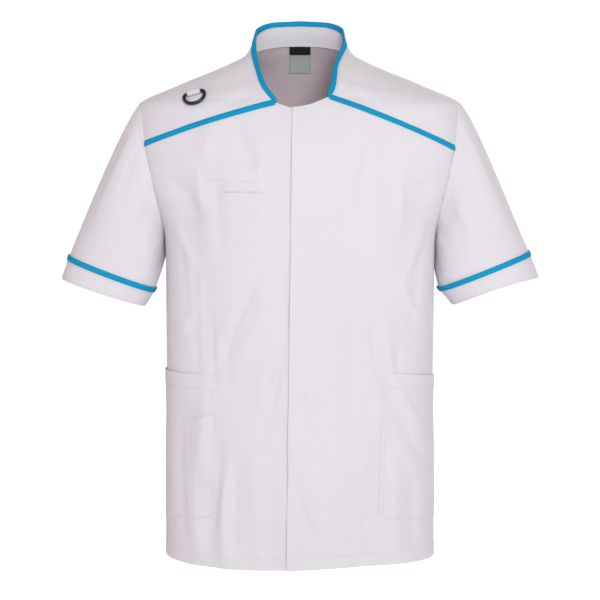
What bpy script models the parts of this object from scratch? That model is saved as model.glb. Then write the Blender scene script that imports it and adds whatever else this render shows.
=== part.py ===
"""A short-sleeved medical tunic, hollow and filled out as if worn, with nobody in it.

The body is cut in five cloth panels that all lie on one surface, lofted through level
sections: two fronts that lap at the centre, two shoulder yokes and one back. Set-in sleeves
with turned cuffs, a stand collar, patch pockets, contrast trims, neck labels and a watch ring
on a cloth tab are sewn to them. Every cloth piece is an open sheet, modelled on its outer
face, that Solidify grows inwards.

Frame: +Z up, -Y to the front, +X to the wearer's left. The origin is midway between the two
points where the shoulders meet the neck. Sizes in the tables are in millimetres.
"""

import math
from collections import namedtuple

import bmesh
import bpy
import numpy as np
from mathutils import Vector

MM = 0.001

# Cloth and seams. BEND is what a seam opens further, where the cloth turns a corner at it.
WALL = 1.2
TRIM_WALL = 0.9
SEAM_GAP = 0.3
BEND = 0.2
ON_PANEL_GAP = 0.8
TRIM_WIDTH = 7.4

# Body: heights are measured from the shoulder-neck points, down is negative.
HEM_HEIGHT = -766.0
NAPE_HEIGHT = 24.0
SHOULDER_SEAM_SHARE = 0.975
SIDE_SEAM_REACH = 14.0
BACK_LEVEL_WITH_TIP = -62.0

# Level sections of the body. front and back are how far it reaches from the middle plane,
# square is the exponent of the rounded outline: 2 is an ellipse, more is boxier.
Section = namedtuple("Section", "height half_width front back square_front square_back")
SECTIONS = [
    Section(-790, 208.5, 123, 118, 2.45, 2.45),
    Section(-640, 207.0, 122, 112, 2.45, 2.45),
    Section(-480, 205.0, 120, 106, 2.45, 2.45),
    Section(-380, 205.5, 122, 110, 2.45, 2.45),
    Section(-300, 206.0, 125, 117, 2.40, 2.40),
    Section(-265, 208.0, 126, 120, 2.35, 2.35),
    Section(-241, 216.0, 126, 122, 2.30, 2.30),
    Section(-206, 230.5, 125, 125, 2.30, 2.30),
    Section(-166, 243.0, 121, 126, 2.30, 2.30),
    Section(-133, 249.0, 115, 124, 2.30, 2.30),
    Section(-110, 250.0, 108, 122, 2.25, 2.25),
    Section(-85, 248.0, 99, 119, 2.20, 2.20),
    Section(-73.6, 246.0, 93, 117, 2.15, 2.15),
    Section(-66, 237.0, 88, 115, 2.10, 2.15),
    Section(-60, 224.0, 84.5, 114, 2.10, 2.10),
    Section(-48, 195.0, 76, 111, 2.05, 2.10),
    Section(-35.5, 165.5, 67, 107, 2.00, 2.05),
    Section(-23.5, 135.0, 59, 103, 2.00, 2.00),
    Section(-11, 106.0, 52, 98, 2.00, 2.00),
    Section(1, 84.0, 46, 93, 2.00, 2.00),
    Section(10, 77.0, 43, 88, 2.00, 2.00),
    Section(26, 68.5, 39, 80, 2.00, 2.00),
]

# Armhole: an egg-shaped loop, its deepest scoop below the middle.
SHOULDER_TIP_HEIGHT = -73.6
UNDERARM_HEIGHT = -270.0
ARMHOLE_REACH = {"front": -57.0, "back": 63.0}
ARMHOLE_SCOOP = 0.2

# What differs between the wearer's right and left. lap_top and lap_hem are where the front's
# free edge runs past the centre, junction is where yoke, front and collar meet, and dip holds
# the points of the front neckline between them, as distance from the centre and height.
Half = namedtuple("Half", "side name lap_top lap_hem yoke_end junction dip lap_lift")
HALVES = [
    Half(-1, "right", -17.0, -17.0, -134.0, (37.2, -74.0),
         [(-17.0, -85.0), (0.0, -84.4), (17.0, -81.0)], -0.4),
    Half(1, "left", -11.0, -20.0, -140.5, (43.2, -65.5),
         [(-11.0, -82.4), (0.0, -81.2), (17.0, -77.2)], 1.9),
]
LAP_LINES = (0.0, 17.0)
LAP_FLAT_TO = 21.0
LAP_FADE_TO = 50.0
YOKE_SEAM_BOW = 2.5

# The hem isn't quite level: its rise, by distance towards the wearer's left.
HemRise = namedtuple("HemRise", "x rise")
HEM_LINE = [
    HemRise(-208, 3.0), HemRise(-150, 0.5), HemRise(-60, -1.5),
    HemRise(30, 0.5), HemRise(120, 4.0), HemRise(208, 2.0),
]

# Neckline from the junction round to the shoulder seam, as distance from the centre and height.
NECK_FRONT = [(60.0, -57.0), (77.5, -34.0), (84.0, -12.0)]
NECK_SIDE_HEIGHT = 0.5

# Free edge of the collar, from the junction round to the centre back. It leans in further on
# the wearer's left, so each side has its own distance from the centre.
CollarEdge = namedtuple("CollarEdge", "round right left y z")
COLLAR_EDGE = [
    CollarEdge(0.15, 52.0, 47.0, -71.0, -46.0),
    CollarEdge(0.33, 61.0, 50.5, -44.0, -20.5),
    CollarEdge(0.45, 66.5, 59.0, -19.0, 2.0),
    CollarEdge(0.56, 69.5, 67.5, 8.0, 25.5),
    CollarEdge(0.69, 67.0, 66.5, 36.0, 43.5),
    CollarEdge(0.85, 43.0, 43.0, 69.0, 57.0),
    CollarEdge(1.00, 0.0, 0.0, 80.5, 60.5),
]
COLLAR_END_RISE = 8.0
COLLAR_END_LEANS = (-0.1, 0.6, 0.8)
COLLAR_BOW = 1.5

# Sleeve: the cuff seam and the cuff's lower edge, each an oval seen from the front by its
# outer and inner corner, as distance from the centre and height.
Oval = namedtuple("Oval", "outer inner half_depth forward front_drop")
CUFF_SEAM = {
    "right": Oval((354.0, -305.8), (223.0, -355.5), 56.0, -12.0, -0.5),
    "left": Oval((351.0, -299.5), (213.5, -354.5), 58.0, -12.0, -1.5),
}
CUFF_HEM = {
    "right": Oval((364.5, -338.0), (237.7, -380.0), 56.5, -14.0, -0.5),
    "left": Oval((365.5, -336.0), (233.5, -378.5), 57.0, -14.0, -6.5),
}
SLEEVE_LEAVES = {
    "top": (0.80, 0.0, -0.60), "front": (0.66, -0.45, -0.60),
    "under": (0.04, 0.0, -1.0), "back": (0.66, 0.45, -0.60),
}
SLEEVE_LEAVE_PULL = {"top": 75.0, "side": 110.0, "under": 75.0}
SLEEVE_ARRIVES = (0.40, 0.0, -0.92)
SLEEVE_ARRIVE_PULL = {"top": 250.0, "side": 150.0, "under": 75.0}
CUFF_STANDS_OUT = 0.6

# Pockets, as seen from the front: each corner as distance from the centre and height. The
# outer corners of the hip pockets only give a height: these pockets end at the side seam.
Patch = namedtuple("Patch", "foot_inner foot_outer mouth_inner mouth_outer")
HIP_POCKETS = {
    "right": Patch((129.0, -692.0), (202.0, -708.0), (120.5, -478.0), (202.0, -477.0)),
    "left": Patch((116.5, -690.0), (202.0, -708.0), (120.0, -474.0), (202.0, -489.0)),
}
SIDE_MARGIN = 3.0
POCKET_GAPE = 2.2
POCKET_GAPE_DEPTH = 70.0
PEN_POCKET = Patch((132.5, -690.0), (161.5, -695.5), (126.0, -533.0), (164.0, -547.0))
CHEST_POCKET = Patch((44.0, -321.0), (136.0, -321.0), (53.0, -173.5), (136.0, -173.5))
CHEST_BAND = Patch((54.5, -206.0), (111.5, -206.0), (54.5, -174.5), (111.5, -174.5))

# Neck labels, hung inside the back from the collar seam.
LABEL_HALF_WIDTH = 16.7
LABEL_WALL = 1.0
LABELS = {"neck_label_upper": (23.6, 11.0), "neck_label_lower": (10.5, -17.0)}

# Watch ring on its tab, on the right yoke. The ring is a D with rounded corners.
RING_PLACE = (157.2, -61.2)
RING_TILT = math.radians(21)
RING_WIRE = 5.2
RING_HALF_BAR = 10.5
RING_HALF_WIDTH = 15.7
RING_DEPTH = 21.5
RING_LEAN = math.radians(6)
TAB_HALF_WIDTH = 9.9
TAB_WALL = 0.9
TAB_LENGTH = 13.0
TAB_PLAY = 0.4

# Large soft folds: from one point to another as seen from the front or the back, with how wide
# they are and how far they stand out (or dip, when negative).
Fold = namedtuple("Fold", "x0 z0 x1 z1 width depth")
FRONT_FOLDS = [
    Fold(-74, -372, -116, -476, 15, -3.2),
    Fold(-58, -362, -96, -470, 16, 2.4),
    Fold(-26, -452, -50, -545, 15, -2.6),
    Fold(104, -372, 120, -474, 15, -3.0),
    Fold(126, -392, 134, -470, 15, 2.2),
    Fold(76, -150, 42, -330, 26, -2.2),
    Fold(42, -330, 40, -620, 24, -2.0),
    Fold(-168, -215, -150, -460, 17, -3.0),
    Fold(-190, -180, -128, -205, 20, -3.4),
    Fold(176, -190, 140, -215, 20, -3.0),
    Fold(-112, -640, -110, -766, 14, 3.0),
    Fold(10, -610, 38, -745, 18, -2.6),
    Fold(-146, -640, -134, -760, 15, -2.4),
    Fold(128, -500, 176, -620, 16, 2.4),
    Fold(94, -640, 90, -766, 16, -2.2),
]
BACK_FOLDS = [
    Fold(-150, -170, -96, -420, 22, 3.4),
    Fold(150, -175, 102, -430, 22, 3.4),
    Fold(-60, -300, -40, -640, 24, -3.0),
    Fold(48, -330, 66, -690, 24, -3.2),
    Fold(-130, -470, -138, -766, 20, 3.6),
    Fold(132, -500, 126, -766, 20, 3.4),
    Fold(-20, -560, -4, -766, 22, 3.0),
    Fold(-110, -95, 110, -98, 16, -1.6),
]
FOLD_FADE = 45.0

# How finely the pieces are divided.
SIDE_ROWS = 18
ARM_LOWER_STEPS = 9
ARM_UPPER_STEPS = 9
ARM_BACK_STEPS = 16
YOKE_COLUMNS = 11
NECK_BACK_COLUMNS = 10
SLEEVE_ROWS = 8
COLLAR_ROWS = 3
QUARTER_STEPS = 48
SAMPLE = 0.002


def smooth_through(known_at, known, at):
    """Values of a smooth curve through the known points, never past their highs and lows."""
    known_at = np.asarray(known_at, float)
    known = np.asarray(known, float)
    at = np.asarray(at, float)
    width = np.diff(known_at)
    rise = np.diff(known) / width
    slope = np.zeros(len(known))
    same_way = rise[:-1] * rise[1:] > 0
    both = np.where(same_way, rise[:-1] * rise[1:], 0.0)
    slope[1:-1] = 2 * both / np.where(same_way, rise[:-1] + rise[1:], 1.0)
    slope[0], slope[-1] = rise[0], rise[-1]
    i = np.clip(np.searchsorted(known_at, at) - 1, 0, len(width) - 1)
    t = (at - known_at[i]) / width[i]
    t = np.clip(t, 0.0, 1.0)
    return (
        known[i] * (1 + 2 * t) * (1 - t) ** 2
        + known[i + 1] * t * t * (3 - 2 * t)
        + width[i] * (slope[i] * t * (1 - t) ** 2 - slope[i + 1] * t * t * (1 - t))
    )


def ease(value, start, end):
    """0 at start, 1 at end, with a soft ramp between."""
    t = np.clip((np.asarray(value, float) - start) / (end - start), 0.0, 1.0)
    return t * t * (3 - 2 * t)


# The body's surface. A place on it is a share and a height: share 0 is the centre front,
# 1 the side and 2 the centre back, by girth; a share below 0 lies past the centre front.


def section_at(height):
    """The columns of the section table, read at these heights."""
    heights = [row.height for row in SECTIONS]
    return [
        smooth_through(heights, [row[i] for row in SECTIONS], height)
        for i in range(1, len(Section._fields))
    ]


def ring_girths(half_width, reach, square):
    """Girth from the middle to each step of a quarter ring, as shares of that quarter."""
    angle = np.linspace(0, math.pi / 2, QUARTER_STEPS + 1)[None, :]
    power = 2 / square[:, None]
    x = half_width[:, None] * np.sin(angle) ** power
    y = reach[:, None] * np.cos(angle) ** power
    steps = np.hypot(np.diff(x), np.diff(y))
    girth = np.concatenate([np.zeros((len(steps), 1)), np.cumsum(steps, axis=1)], axis=1)
    return girth / girth[:, -1:]


def fold_depth(x, z, folds):
    """How far the folds move the cloth out at each place, as seen from the front."""
    moved = np.zeros_like(x)
    for fold in folds:
        along = np.array([fold.x1 - fold.x0, fold.z1 - fold.z0])
        t = ((x - fold.x0) * along[0] + (z - fold.z0) * along[1]) / (along @ along)
        t = np.clip(t, 0.0, 1.0)
        away = np.hypot(x - fold.x0 - t * along[0], z - fold.z0 - t * along[1])
        moved += fold.depth * np.exp(-((away / fold.width) ** 2))
    return moved


def body(side, share, height):
    """Points of the body's outer face, with its folds."""
    share, height = np.broadcast_arrays(np.asarray(share, float), np.asarray(height, float))
    shape = share.shape
    share, height = share.ravel(), height.ravel()
    half_width, front, back, square_front, square_back = section_at(height)
    behind = share > 1
    reach = np.where(behind, back, front)
    square = np.where(behind, square_back, square_front)
    quarter = np.where(behind, 2 - share, np.abs(share))
    girths = ring_girths(half_width, reach, square)
    steps = np.linspace(0, math.pi / 2, QUARTER_STEPS + 1)
    angle = np.array([np.interp(q, g, steps) for q, g in zip(quarter, girths)])
    across = np.sin(angle) ** (2 / square)
    deep = np.cos(angle) ** (2 / square) * np.where(behind, 1, -1)
    x = side * np.sign(share) * half_width * across
    y = reach * deep
    out = np.stack([x / half_width**2, y / reach**2])
    out = out / np.maximum(np.hypot(*out), 1e-12)
    fold = fold_depth(x, height, FRONT_FOLDS) * ease(-y, 0, FOLD_FADE)
    fold += fold_depth(x, height, BACK_FOLDS) * ease(y, 0, FOLD_FADE)
    return np.stack([x + out[0] * fold, y + out[1] * fold, height], axis=-1).reshape(shape + (3,))


def run_along(points):
    """Length of a line of points from its start to each of them."""
    steps = np.linalg.norm(np.diff(points, axis=0), axis=1)
    return np.concatenate([[0], np.cumsum(steps)])


def unit(vectors):
    """The vectors at length one."""
    return vectors / np.maximum(np.linalg.norm(vectors, axis=-1, keepdims=True), 1e-12)


def body_out(side, share, height):
    """The outward direction of the body's cloth."""
    along = body(side, share + SAMPLE, height) - body(side, share - SAMPLE, height)
    up = body(side, share, height + 1.0) - body(side, share, height - 1.0)
    return unit(np.cross(along, up)) * side


def on_body(side, share, height, lift):
    """Points that lie on the body's cloth, moved out by lift."""
    lift = np.asarray(lift, float)
    return body(side, share, height) + body_out(side, share, height) * lift[..., None]


def share_where(height, wanted, axis):
    """The share at which the body has this distance from the centre (axis 0) or reach (axis 1)."""
    height, wanted = np.broadcast_arrays(np.asarray(height, float), np.asarray(wanted, float))
    shares = np.linspace(0, 1, 121) if axis == 0 else np.linspace(0, 2, 241)
    found = []
    for h, w in zip(height.ravel(), wanted.ravel()):
        half_width, front, back, square_front, square_back = section_at(np.array([h]))
        values = bare_ring(shares, half_width, (front, back), (square_front, square_back))[axis]
        share = np.interp(w if axis else abs(w), values, shares)
        found.append(share if axis else math.copysign(share, w))
    return np.array(found).reshape(height.shape)


def bare_ring(shares, half_width, reaches, squares):
    """One level section without folds, as distances from the centre and reaches."""
    x, y = [], []
    steps = np.linspace(0, math.pi / 2, QUARTER_STEPS + 1)
    girths = [ring_girths(half_width, reach, square)[0] for reach, square in zip(reaches, squares)]
    for share in shares:
        behind = int(share > 1)
        angle = np.interp(2 - share if behind else share, girths[behind], steps)
        power = 2 / squares[behind][0]
        x.append(half_width[0] * math.sin(angle) ** power)
        y.append((1 if behind else -1) * reaches[behind][0] * math.cos(angle) ** power)
    return np.array(x), np.array(y)


# Seams, each a row of (share, height) that the two pieces it joins both follow.


def armhole_seam(angles, which):
    """Armhole from the shoulder tip (angle 0) down to the underarm (half a turn)."""
    middle = (SHOULDER_TIP_HEIGHT + UNDERARM_HEIGHT) / 2
    half = (SHOULDER_TIP_HEIGHT - UNDERARM_HEIGHT) / 2
    height = middle + half * np.cos(angles)
    low = (1 - np.cos(angles)) / 2
    scoop = np.sin(angles - ARMHOLE_SCOOP * np.sin(angles))
    tip_share = np.array([SHOULDER_SEAM_SHARE])
    tip_reach = body(1, tip_share, np.array([SHOULDER_TIP_HEIGHT]))[0, 1]
    reach = tip_reach + (SIDE_SEAM_REACH - tip_reach) * low + ARMHOLE_REACH[which] * scoop
    return np.stack([share_where(height, reach, 1), height], axis=-1)


def yoke_end_angle(half):
    """The armhole angle at which the yoke seam ends."""
    middle = (SHOULDER_TIP_HEIGHT + UNDERARM_HEIGHT) / 2
    return math.acos((half.yoke_end - middle) / (SHOULDER_TIP_HEIGHT - middle))


def armhole_front(half):
    """Front armhole, underarm to yoke seam and yoke seam to shoulder tip."""
    end = yoke_end_angle(half)
    lower = armhole_seam(np.linspace(math.pi, end, ARM_LOWER_STEPS + 1), "front")
    upper = armhole_seam(np.linspace(end, 0, ARM_UPPER_STEPS + 1), "front")
    return lower, upper


def armhole_back():
    """Back armhole, underarm to shoulder tip."""
    return armhole_seam(np.linspace(math.pi, 0, ARM_BACK_STEPS + 1), "back")


def hem_height(x):
    """Height of the hem, by distance towards the wearer's left."""
    rise = smooth_through([row.x for row in HEM_LINE], [row.rise for row in HEM_LINE], x)
    return HEM_HEIGHT + rise


def side_seam(half):
    """Side seam, hem to underarm."""
    hem = hem_height(HEM_LINE[-1].x * half.side)
    height = np.linspace(hem, UNDERARM_HEIGHT, SIDE_ROWS + 1)
    return np.stack([share_where(height, SIDE_SEAM_REACH, 1), height], axis=-1)


def yoke_seam(half):
    """Front yoke seam, junction to armhole."""
    (x0, z0), lower = half.junction, armhole_front(half)[0]
    x1 = body(1, lower[-1:, 0], lower[-1:, 1])[0, 0]
    t = np.linspace(0, 1, YOKE_COLUMNS + 1)
    x = x0 + (x1 - x0) * t
    z = z0 + (half.yoke_end - z0) * t + YOKE_SEAM_BOW * np.sin(math.pi * t)
    seam = np.stack([share_where(z, x, 0), z], axis=-1)
    seam[-1] = lower[-1]
    return seam


def neck_front(half):
    """Neckline from the junction to the shoulder seam, in even steps along the cloth."""
    side_x = body(1, np.array([SHOULDER_SEAM_SHARE]), np.array([NECK_SIDE_HEIGHT]))[0, 0]
    points = np.array([half.junction, *NECK_FRONT, (side_x, NECK_SIDE_HEIGHT)])
    run = run_along(points)
    at = np.linspace(0, run[-1], 60)
    x, z = (smooth_through(run, column, at) for column in points.T)
    share = share_where(z, x, 0)
    share[-1] = SHOULDER_SEAM_SHARE
    run = run_along(body(1, share, z))
    even = np.linspace(0, run[-1], ARM_UPPER_STEPS + 1)
    return np.stack([np.interp(even, run, share), np.interp(even, run, z)], axis=-1)


def neck_back():
    """Neckline from the shoulder seam to the centre back."""
    t = np.linspace(0, 1, NECK_BACK_COLUMNS + 1)
    share = SHOULDER_SEAM_SHARE + (2 - SHOULDER_SEAM_SHARE) * t
    height = NECK_SIDE_HEIGHT + (NAPE_HEIGHT - NECK_SIDE_HEIGHT) * np.sin(t * math.pi / 2)
    return np.stack([share, height], axis=-1)


def shoulder_seam():
    """Shoulder seam, neck to tip."""
    height = np.linspace(NECK_SIDE_HEIGHT, SHOULDER_TIP_HEIGHT, YOKE_COLUMNS + 1)
    return np.stack([np.full_like(height, SHOULDER_SEAM_SHARE), height], axis=-1)


def stepped(start, end, count):
    """Even steps from one (share, height) to another."""
    t = np.linspace(0, 1, count + 1)[:, None]
    return np.asarray(start) * (1 - t) + np.asarray(end) * t


def between(bottom, top, left, right):
    """Places inside a panel, spread between its four edges."""
    u = np.linspace(0, 1, len(bottom))[None, :, None]
    v = np.linspace(0, 1, len(left))[:, None, None]
    edges = bottom[None] * (1 - v) + top[None] * v + left[:, None] * (1 - u) + right[:, None] * u
    corners = (
        bottom[0] * (1 - u) * (1 - v) + bottom[-1] * u * (1 - v)
        + top[0] * (1 - u) * v + top[-1] * u * v
    )
    return edges - corners


def apart(first, second):
    """How far apart two rows of places are on the body."""
    there, here = (body(1, places[:, 0], places[:, 1]) for places in (first, second))
    return np.linalg.norm(there - here, axis=-1)


def pulled_in(places, left=0.0, right=0.0, bottom=0.0, top=0.0):
    """The panel's places with an edge moved in by that many millimetres along the cloth."""
    moved = places.copy()
    for index, step, gap in ((0, 1, left), (-1, -2, right)):
        toward = places[:, step] - places[:, index]
        moved[:, index] += toward * (gap / apart(places[:, step], places[:, index]))[:, None]
    for index, step, gap in ((0, 1, bottom), (-1, -2, top)):
        toward = places[step] - places[index]
        moved[index] += toward * (gap / apart(places[step], places[index]))[:, None]
    return moved


# Making objects.


def material(name, colour, roughness, metallic=0.0):
    """A plain finish for one group of pieces."""
    made = bpy.data.materials.new(name)
    made.use_nodes = True
    shader = made.node_tree.nodes["Principled BSDF"]
    shader.inputs["Base Color"].default_value = (*colour, 1.0)
    shader.inputs["Roughness"].default_value = roughness
    shader.inputs["Metallic"].default_value = metallic
    return made


def sheet(name, points, finish, wall=WALL, side=1, closed=False, outwards=False):
    """A cloth piece from rows of points on its outer face, grown inwards to its wall."""
    if side < 0:
        points = points[:, ::-1]
    rows, columns = points.shape[0] - 1, points.shape[1] - 1
    shape = bmesh.new()
    bmesh.ops.create_grid(shape, x_segments=columns, y_segments=rows, size=0.5)
    for vertex in shape.verts:
        column = round((vertex.co.x + 0.5) * columns)
        row = round((vertex.co.y + 0.5) * rows)
        vertex.co = Vector(points[row, column]) * MM
    if closed:
        bmesh.ops.remove_doubles(shape, verts=shape.verts, dist=1e-6)
    mesh = bpy.data.meshes.new(name)
    shape.to_mesh(mesh)
    shape.free()
    mesh.shade_smooth()
    piece = bpy.data.objects.new(name, mesh)
    TUNIC.objects.link(piece)
    mesh.materials.append(finish)
    thick = piece.modifiers.new("wall", "SOLIDIFY")
    thick.thickness = wall * MM
    thick.offset = 1 if outwards else -1
    thick.use_even_offset = outwards
    return piece


def mirrored(points, side):
    """Points of the wearer's left half, moved to the half that side names."""
    return points * np.array([side, 1, 1])


# The body's panels.


def lap_lift(half, points):
    """How far a front is lifted where it lies over the other front."""
    return half.lap_lift * (1 - ease(points[..., 0] * half.side, LAP_FLAT_TO, LAP_FADE_TO))


def front_places(half):
    """Front panel: free edge to side seam and armhole, hem to neckline and yoke seam."""
    right = np.concatenate([side_seam(half), armhole_front(half)[0][1:]])
    dip = np.array([*half.dip, half.junction])
    top_dip = np.stack([share_where(dip[:, 1], dip[:, 0], 0), dip[:, 1]], axis=-1)
    top = np.concatenate([top_dip, yoke_seam(half)[1:]])
    hem = hem_height(half.lap_hem * half.side)
    heights = np.concatenate([
        np.linspace(hem, UNDERARM_HEIGHT, SIDE_ROWS + 1),
        np.linspace(UNDERARM_HEIGHT, half.dip[0][1], ARM_LOWER_STEPS + 1)[1:],
    ])
    edge_x = np.interp(heights, [hem, half.dip[0][1]], [half.lap_hem, half.lap_top])
    left = np.stack([share_where(heights, edge_x, 0), heights], axis=-1)
    lap = np.stack([share_where(np.full(2, hem), LAP_LINES, 0), np.full(2, hem)], axis=-1)
    bottom = np.concatenate([left[:1], lap[:1], stepped(lap[1], right[0], YOKE_COLUMNS + 1)])
    places = between(bottom, top, left, right)
    x = body(half.side, places[0, :, 0], np.full(len(top), HEM_HEIGHT))[:, 0]
    sag = hem_height(x) - places[0, :, 1]
    places[..., 1] += sag * np.linspace(1, 0, len(left))[:, None]
    return pulled_in(places, right=SEAM_GAP / 2 + BEND, top=SEAM_GAP / 2 + BEND)


def front_panel(half):
    """Points of a front's outer face."""
    places = front_places(half)
    share, height = places[..., 0], places[..., 1]
    lift = lap_lift(half, body(half.side, share, height))
    return on_body(half.side, share, height, lift)


def make_front(half, finish):
    sheet("front_" + half.name, front_panel(half), finish, side=half.side)


def make_yoke(half, finish):
    places = between(yoke_seam(half), shoulder_seam(), neck_front(half), armhole_front(half)[1])
    gap = SEAM_GAP / 2 + BEND
    places = pulled_in(places, bottom=gap, top=gap)
    points = body(half.side, places[..., 0], places[..., 1])
    sheet("yoke_" + half.name, points, finish, side=half.side)


def back_places(half):
    """Half of the back: side seam, armhole and shoulder seam on one edge, neckline on top."""
    outer = np.concatenate([side_seam(half), armhole_back()[1:], shoulder_seam()[::-1][1:]])
    top = neck_back()
    heights = np.concatenate([
        np.linspace(hem_height(0), UNDERARM_HEIGHT, SIDE_ROWS + 1),
        np.linspace(UNDERARM_HEIGHT, BACK_LEVEL_WITH_TIP, ARM_BACK_STEPS + 1)[1:],
        np.linspace(BACK_LEVEL_WITH_TIP, NAPE_HEIGHT, YOKE_COLUMNS + 1)[1:],
    ])
    middle = np.stack([np.full_like(heights, 2.0), heights], axis=-1)
    bottom = stepped(outer[0], middle[0], NECK_BACK_COLUMNS)
    return pulled_in(between(bottom, top, outer, middle), left=SEAM_GAP / 2 + BEND)


def make_back(finish):
    halves = []
    for half in HALVES:
        places = back_places(half)
        halves.append(body(half.side, places[..., 0], places[..., 1]))
    sheet("back", np.concatenate([halves[1], halves[0][:, -2::-1]], axis=1), finish)


# Sleeves. A line runs down the sleeve from each point of the armhole to the cuff.


def sleeve_turns(half):
    """Armhole places all round: shoulder tip, front, underarm, back and shoulder tip."""
    lower, upper = armhole_front(half)
    front = np.concatenate([upper[::-1], lower[::-1][1:]])
    return np.concatenate([front, armhole_back()[1:]])


def sleeve_angles(points, under):
    """How far round the sleeve each armhole point lies, by its run from the shoulder tip."""
    run = run_along(points)
    front = run[: under + 1] / run[under] * math.pi
    back = math.pi + (run[under + 1:] - run[under]) / (run[-1] - run[under]) * math.pi
    return np.concatenate([front, back])


def oval(shape, angles):
    """Points round an oval, from its outer corner over the front to the inner corner and back."""
    outer, inner = np.array(shape.outer), np.array(shape.inner)
    centre, reach = (outer + inner) / 2, (outer - inner) / 2
    flat = centre + np.cos(angles)[:, None] * reach
    front = np.sin(angles)
    y = shape.forward - shape.half_depth * front
    z = flat[:, 1] - shape.front_drop * np.maximum(front, 0) ** 2
    return np.stack([flat[:, 0], y, z], axis=-1)


def round_blend(angles, top, front, under, back):
    """A value that goes smoothly from top to front, under, back and to the top again."""
    c, s = np.cos(angles), np.sin(angles)
    weights = [np.maximum(v, 0) ** 2 for v in (c, s, -c, -s)]
    values = [np.atleast_1d(np.asarray(v, float)) for v in (top, front, under, back)]
    return sum(w[:, None] * v[None] for w, v in zip(weights, values))


def sleeve_lines(half):
    """The start, leaving pull, end and arriving pull of each line down the sleeve."""
    places = sleeve_turns(half)
    start = body(1, places[:, 0], places[:, 1])
    out = body_out(1, places[:, 0], places[:, 1])
    angles = sleeve_angles(start, ARM_UPPER_STEPS + ARM_LOWER_STEPS)
    leave = unit(round_blend(angles, *(SLEEVE_LEAVES[k] for k in ("top", "front", "under", "back"))))
    pull = SLEEVE_LEAVE_PULL
    leave_pull = round_blend(angles, pull["top"], pull["side"], pull["under"], pull["side"])
    pull = SLEEVE_ARRIVE_PULL
    arrive_pull = round_blend(angles, pull["top"], pull["side"], pull["under"], pull["side"])
    low = ((1 - np.cos(angles)) / 2)[:, None]
    start = start + out * SEAM_GAP * 1.5 * low + leave * SEAM_GAP * 1.7
    start[-1] = start[0]
    arrive = unit(np.array(SLEEVE_ARRIVES)) * arrive_pull
    return angles, start, leave * leave_pull, oval(CUFF_SEAM[half.name], angles), arrive


def down_sleeve(lines, t):
    """Points at the share t of the way down the sleeve."""
    _, start, leave, end, arrive = lines
    return (
        start * (1 + 2 * t) * (1 - t) ** 2 + end * t * t * (3 - 2 * t)
        + leave * t * (1 - t) ** 2 - arrive * t * t * (1 - t)
    )


def make_sleeve(half, cloth, trim):
    lines = sleeve_lines(half)
    angles = lines[0]
    sleeve = np.stack([down_sleeve(lines, t) for t in np.linspace(0, 1, SLEEVE_ROWS + 1)])
    length = np.linalg.norm(sleeve[-1] - sleeve[-2], axis=-1, keepdims=True)
    sleeve[-1] += (sleeve[-2] - sleeve[-1]) * ((SEAM_GAP + 2 * BEND) / length)
    sheet("sleeve_" + half.name, mirrored(sleeve, half.side), cloth, side=half.side, closed=True)
    seam, hem = oval(CUFF_SEAM[half.name], angles), oval(CUFF_HEM[half.name], angles)
    middle = (seam[0] + seam[len(seam) // 2]) / 2
    axis = unit(np.array(SLEEVE_ARRIVES))
    out = unit((seam - middle) - ((seam - middle) @ axis)[:, None] * axis)
    down = unit(hem - seam)
    cuff = np.stack([seam + (hem - seam) * t + out * CUFF_STANDS_OUT for t in (0.0, 0.5, 1.0)])
    sheet("cuff_" + half.name, mirrored(cuff, half.side), cloth, side=half.side, closed=True)
    lift = out * (SEAM_GAP + BEND + CUFF_STANDS_OUT + TRIM_WALL)
    band = np.stack([seam + down * (d * TRIM_WIDTH) + lift for d in (-0.5, 0.0, 0.5)])
    sheet("cuff_trim_" + half.name, mirrored(band, half.side), trim, TRIM_WALL, half.side, closed=True)


# Collar.


def collar_lines():
    """Seam and free edge of the whole collar, left junction round the back to the right one."""
    seams, edges = [], []
    for half in HALVES[::-1]:
        places = np.concatenate([neck_front(half), neck_back()[1:]])
        seam = body(1, places[:, 0], places[:, 1])
        run = run_along(seam)
        end = seam[0] + unit(np.array(COLLAR_END_LEANS)) * COLLAR_END_RISE
        table = [(0.0, *end)]
        table += [(row.round, getattr(row, half.name), row.y, row.z) for row in COLLAR_EDGE]
        round_it, *columns = np.array(table).T
        edge = np.stack([smooth_through(round_it, c, run / run[-1]) for c in columns], axis=-1)
        seams.append(mirrored(seam, half.side))
        edges.append(mirrored(edge, half.side))
    seam = np.concatenate([seams[0], seams[1][::-1][1:]])
    edge = np.concatenate([edges[0], edges[1][::-1][1:]])
    return seam, edge


def make_collar(cloth, trim):
    """The collar's last row is the strip that the binding folds over."""
    seam, edge = collar_lines()
    rise = np.linalg.norm(edge - seam, axis=-1, keepdims=True)
    up = (edge - seam) / rise
    out = unit(np.cross(np.gradient(seam, axis=0), up))
    foot = seam + up * SEAM_GAP * 1.6
    strip = np.minimum(TRIM_WIDTH - 1.0, rise * 0.75) / rise
    shares = [(1 - strip) * n / (COLLAR_ROWS - 1) for n in range(COLLAR_ROWS)]
    shares.append(np.ones_like(strip))
    bow = COLLAR_BOW * ease(rise, 10, 40)
    rows = [foot * (1 - t) + edge * t + out * bow * np.sin(math.pi * t) for t in shares]
    rows = np.stack(rows)
    sheet("collar", rows, cloth)
    off = grid_out(rows)
    outside, inside = SEAM_GAP + 4 * BEND, -(WALL + SEAM_GAP + 5 * BEND)
    over = unit(rows[-1] - rows[-2]) * SEAM_GAP * 1.5
    channel = np.stack([
        rows[-2] + off[-2] * outside,
        rows[-1] + over + off[-1] * outside,
        rows[-1] + over + off[-1] * inside,
        rows[-2] + off[-2] * inside,
    ])
    sheet("collar_trim", channel, trim, TRIM_WALL, outwards=True)


# Trims and pockets that lie on the panels.


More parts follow.
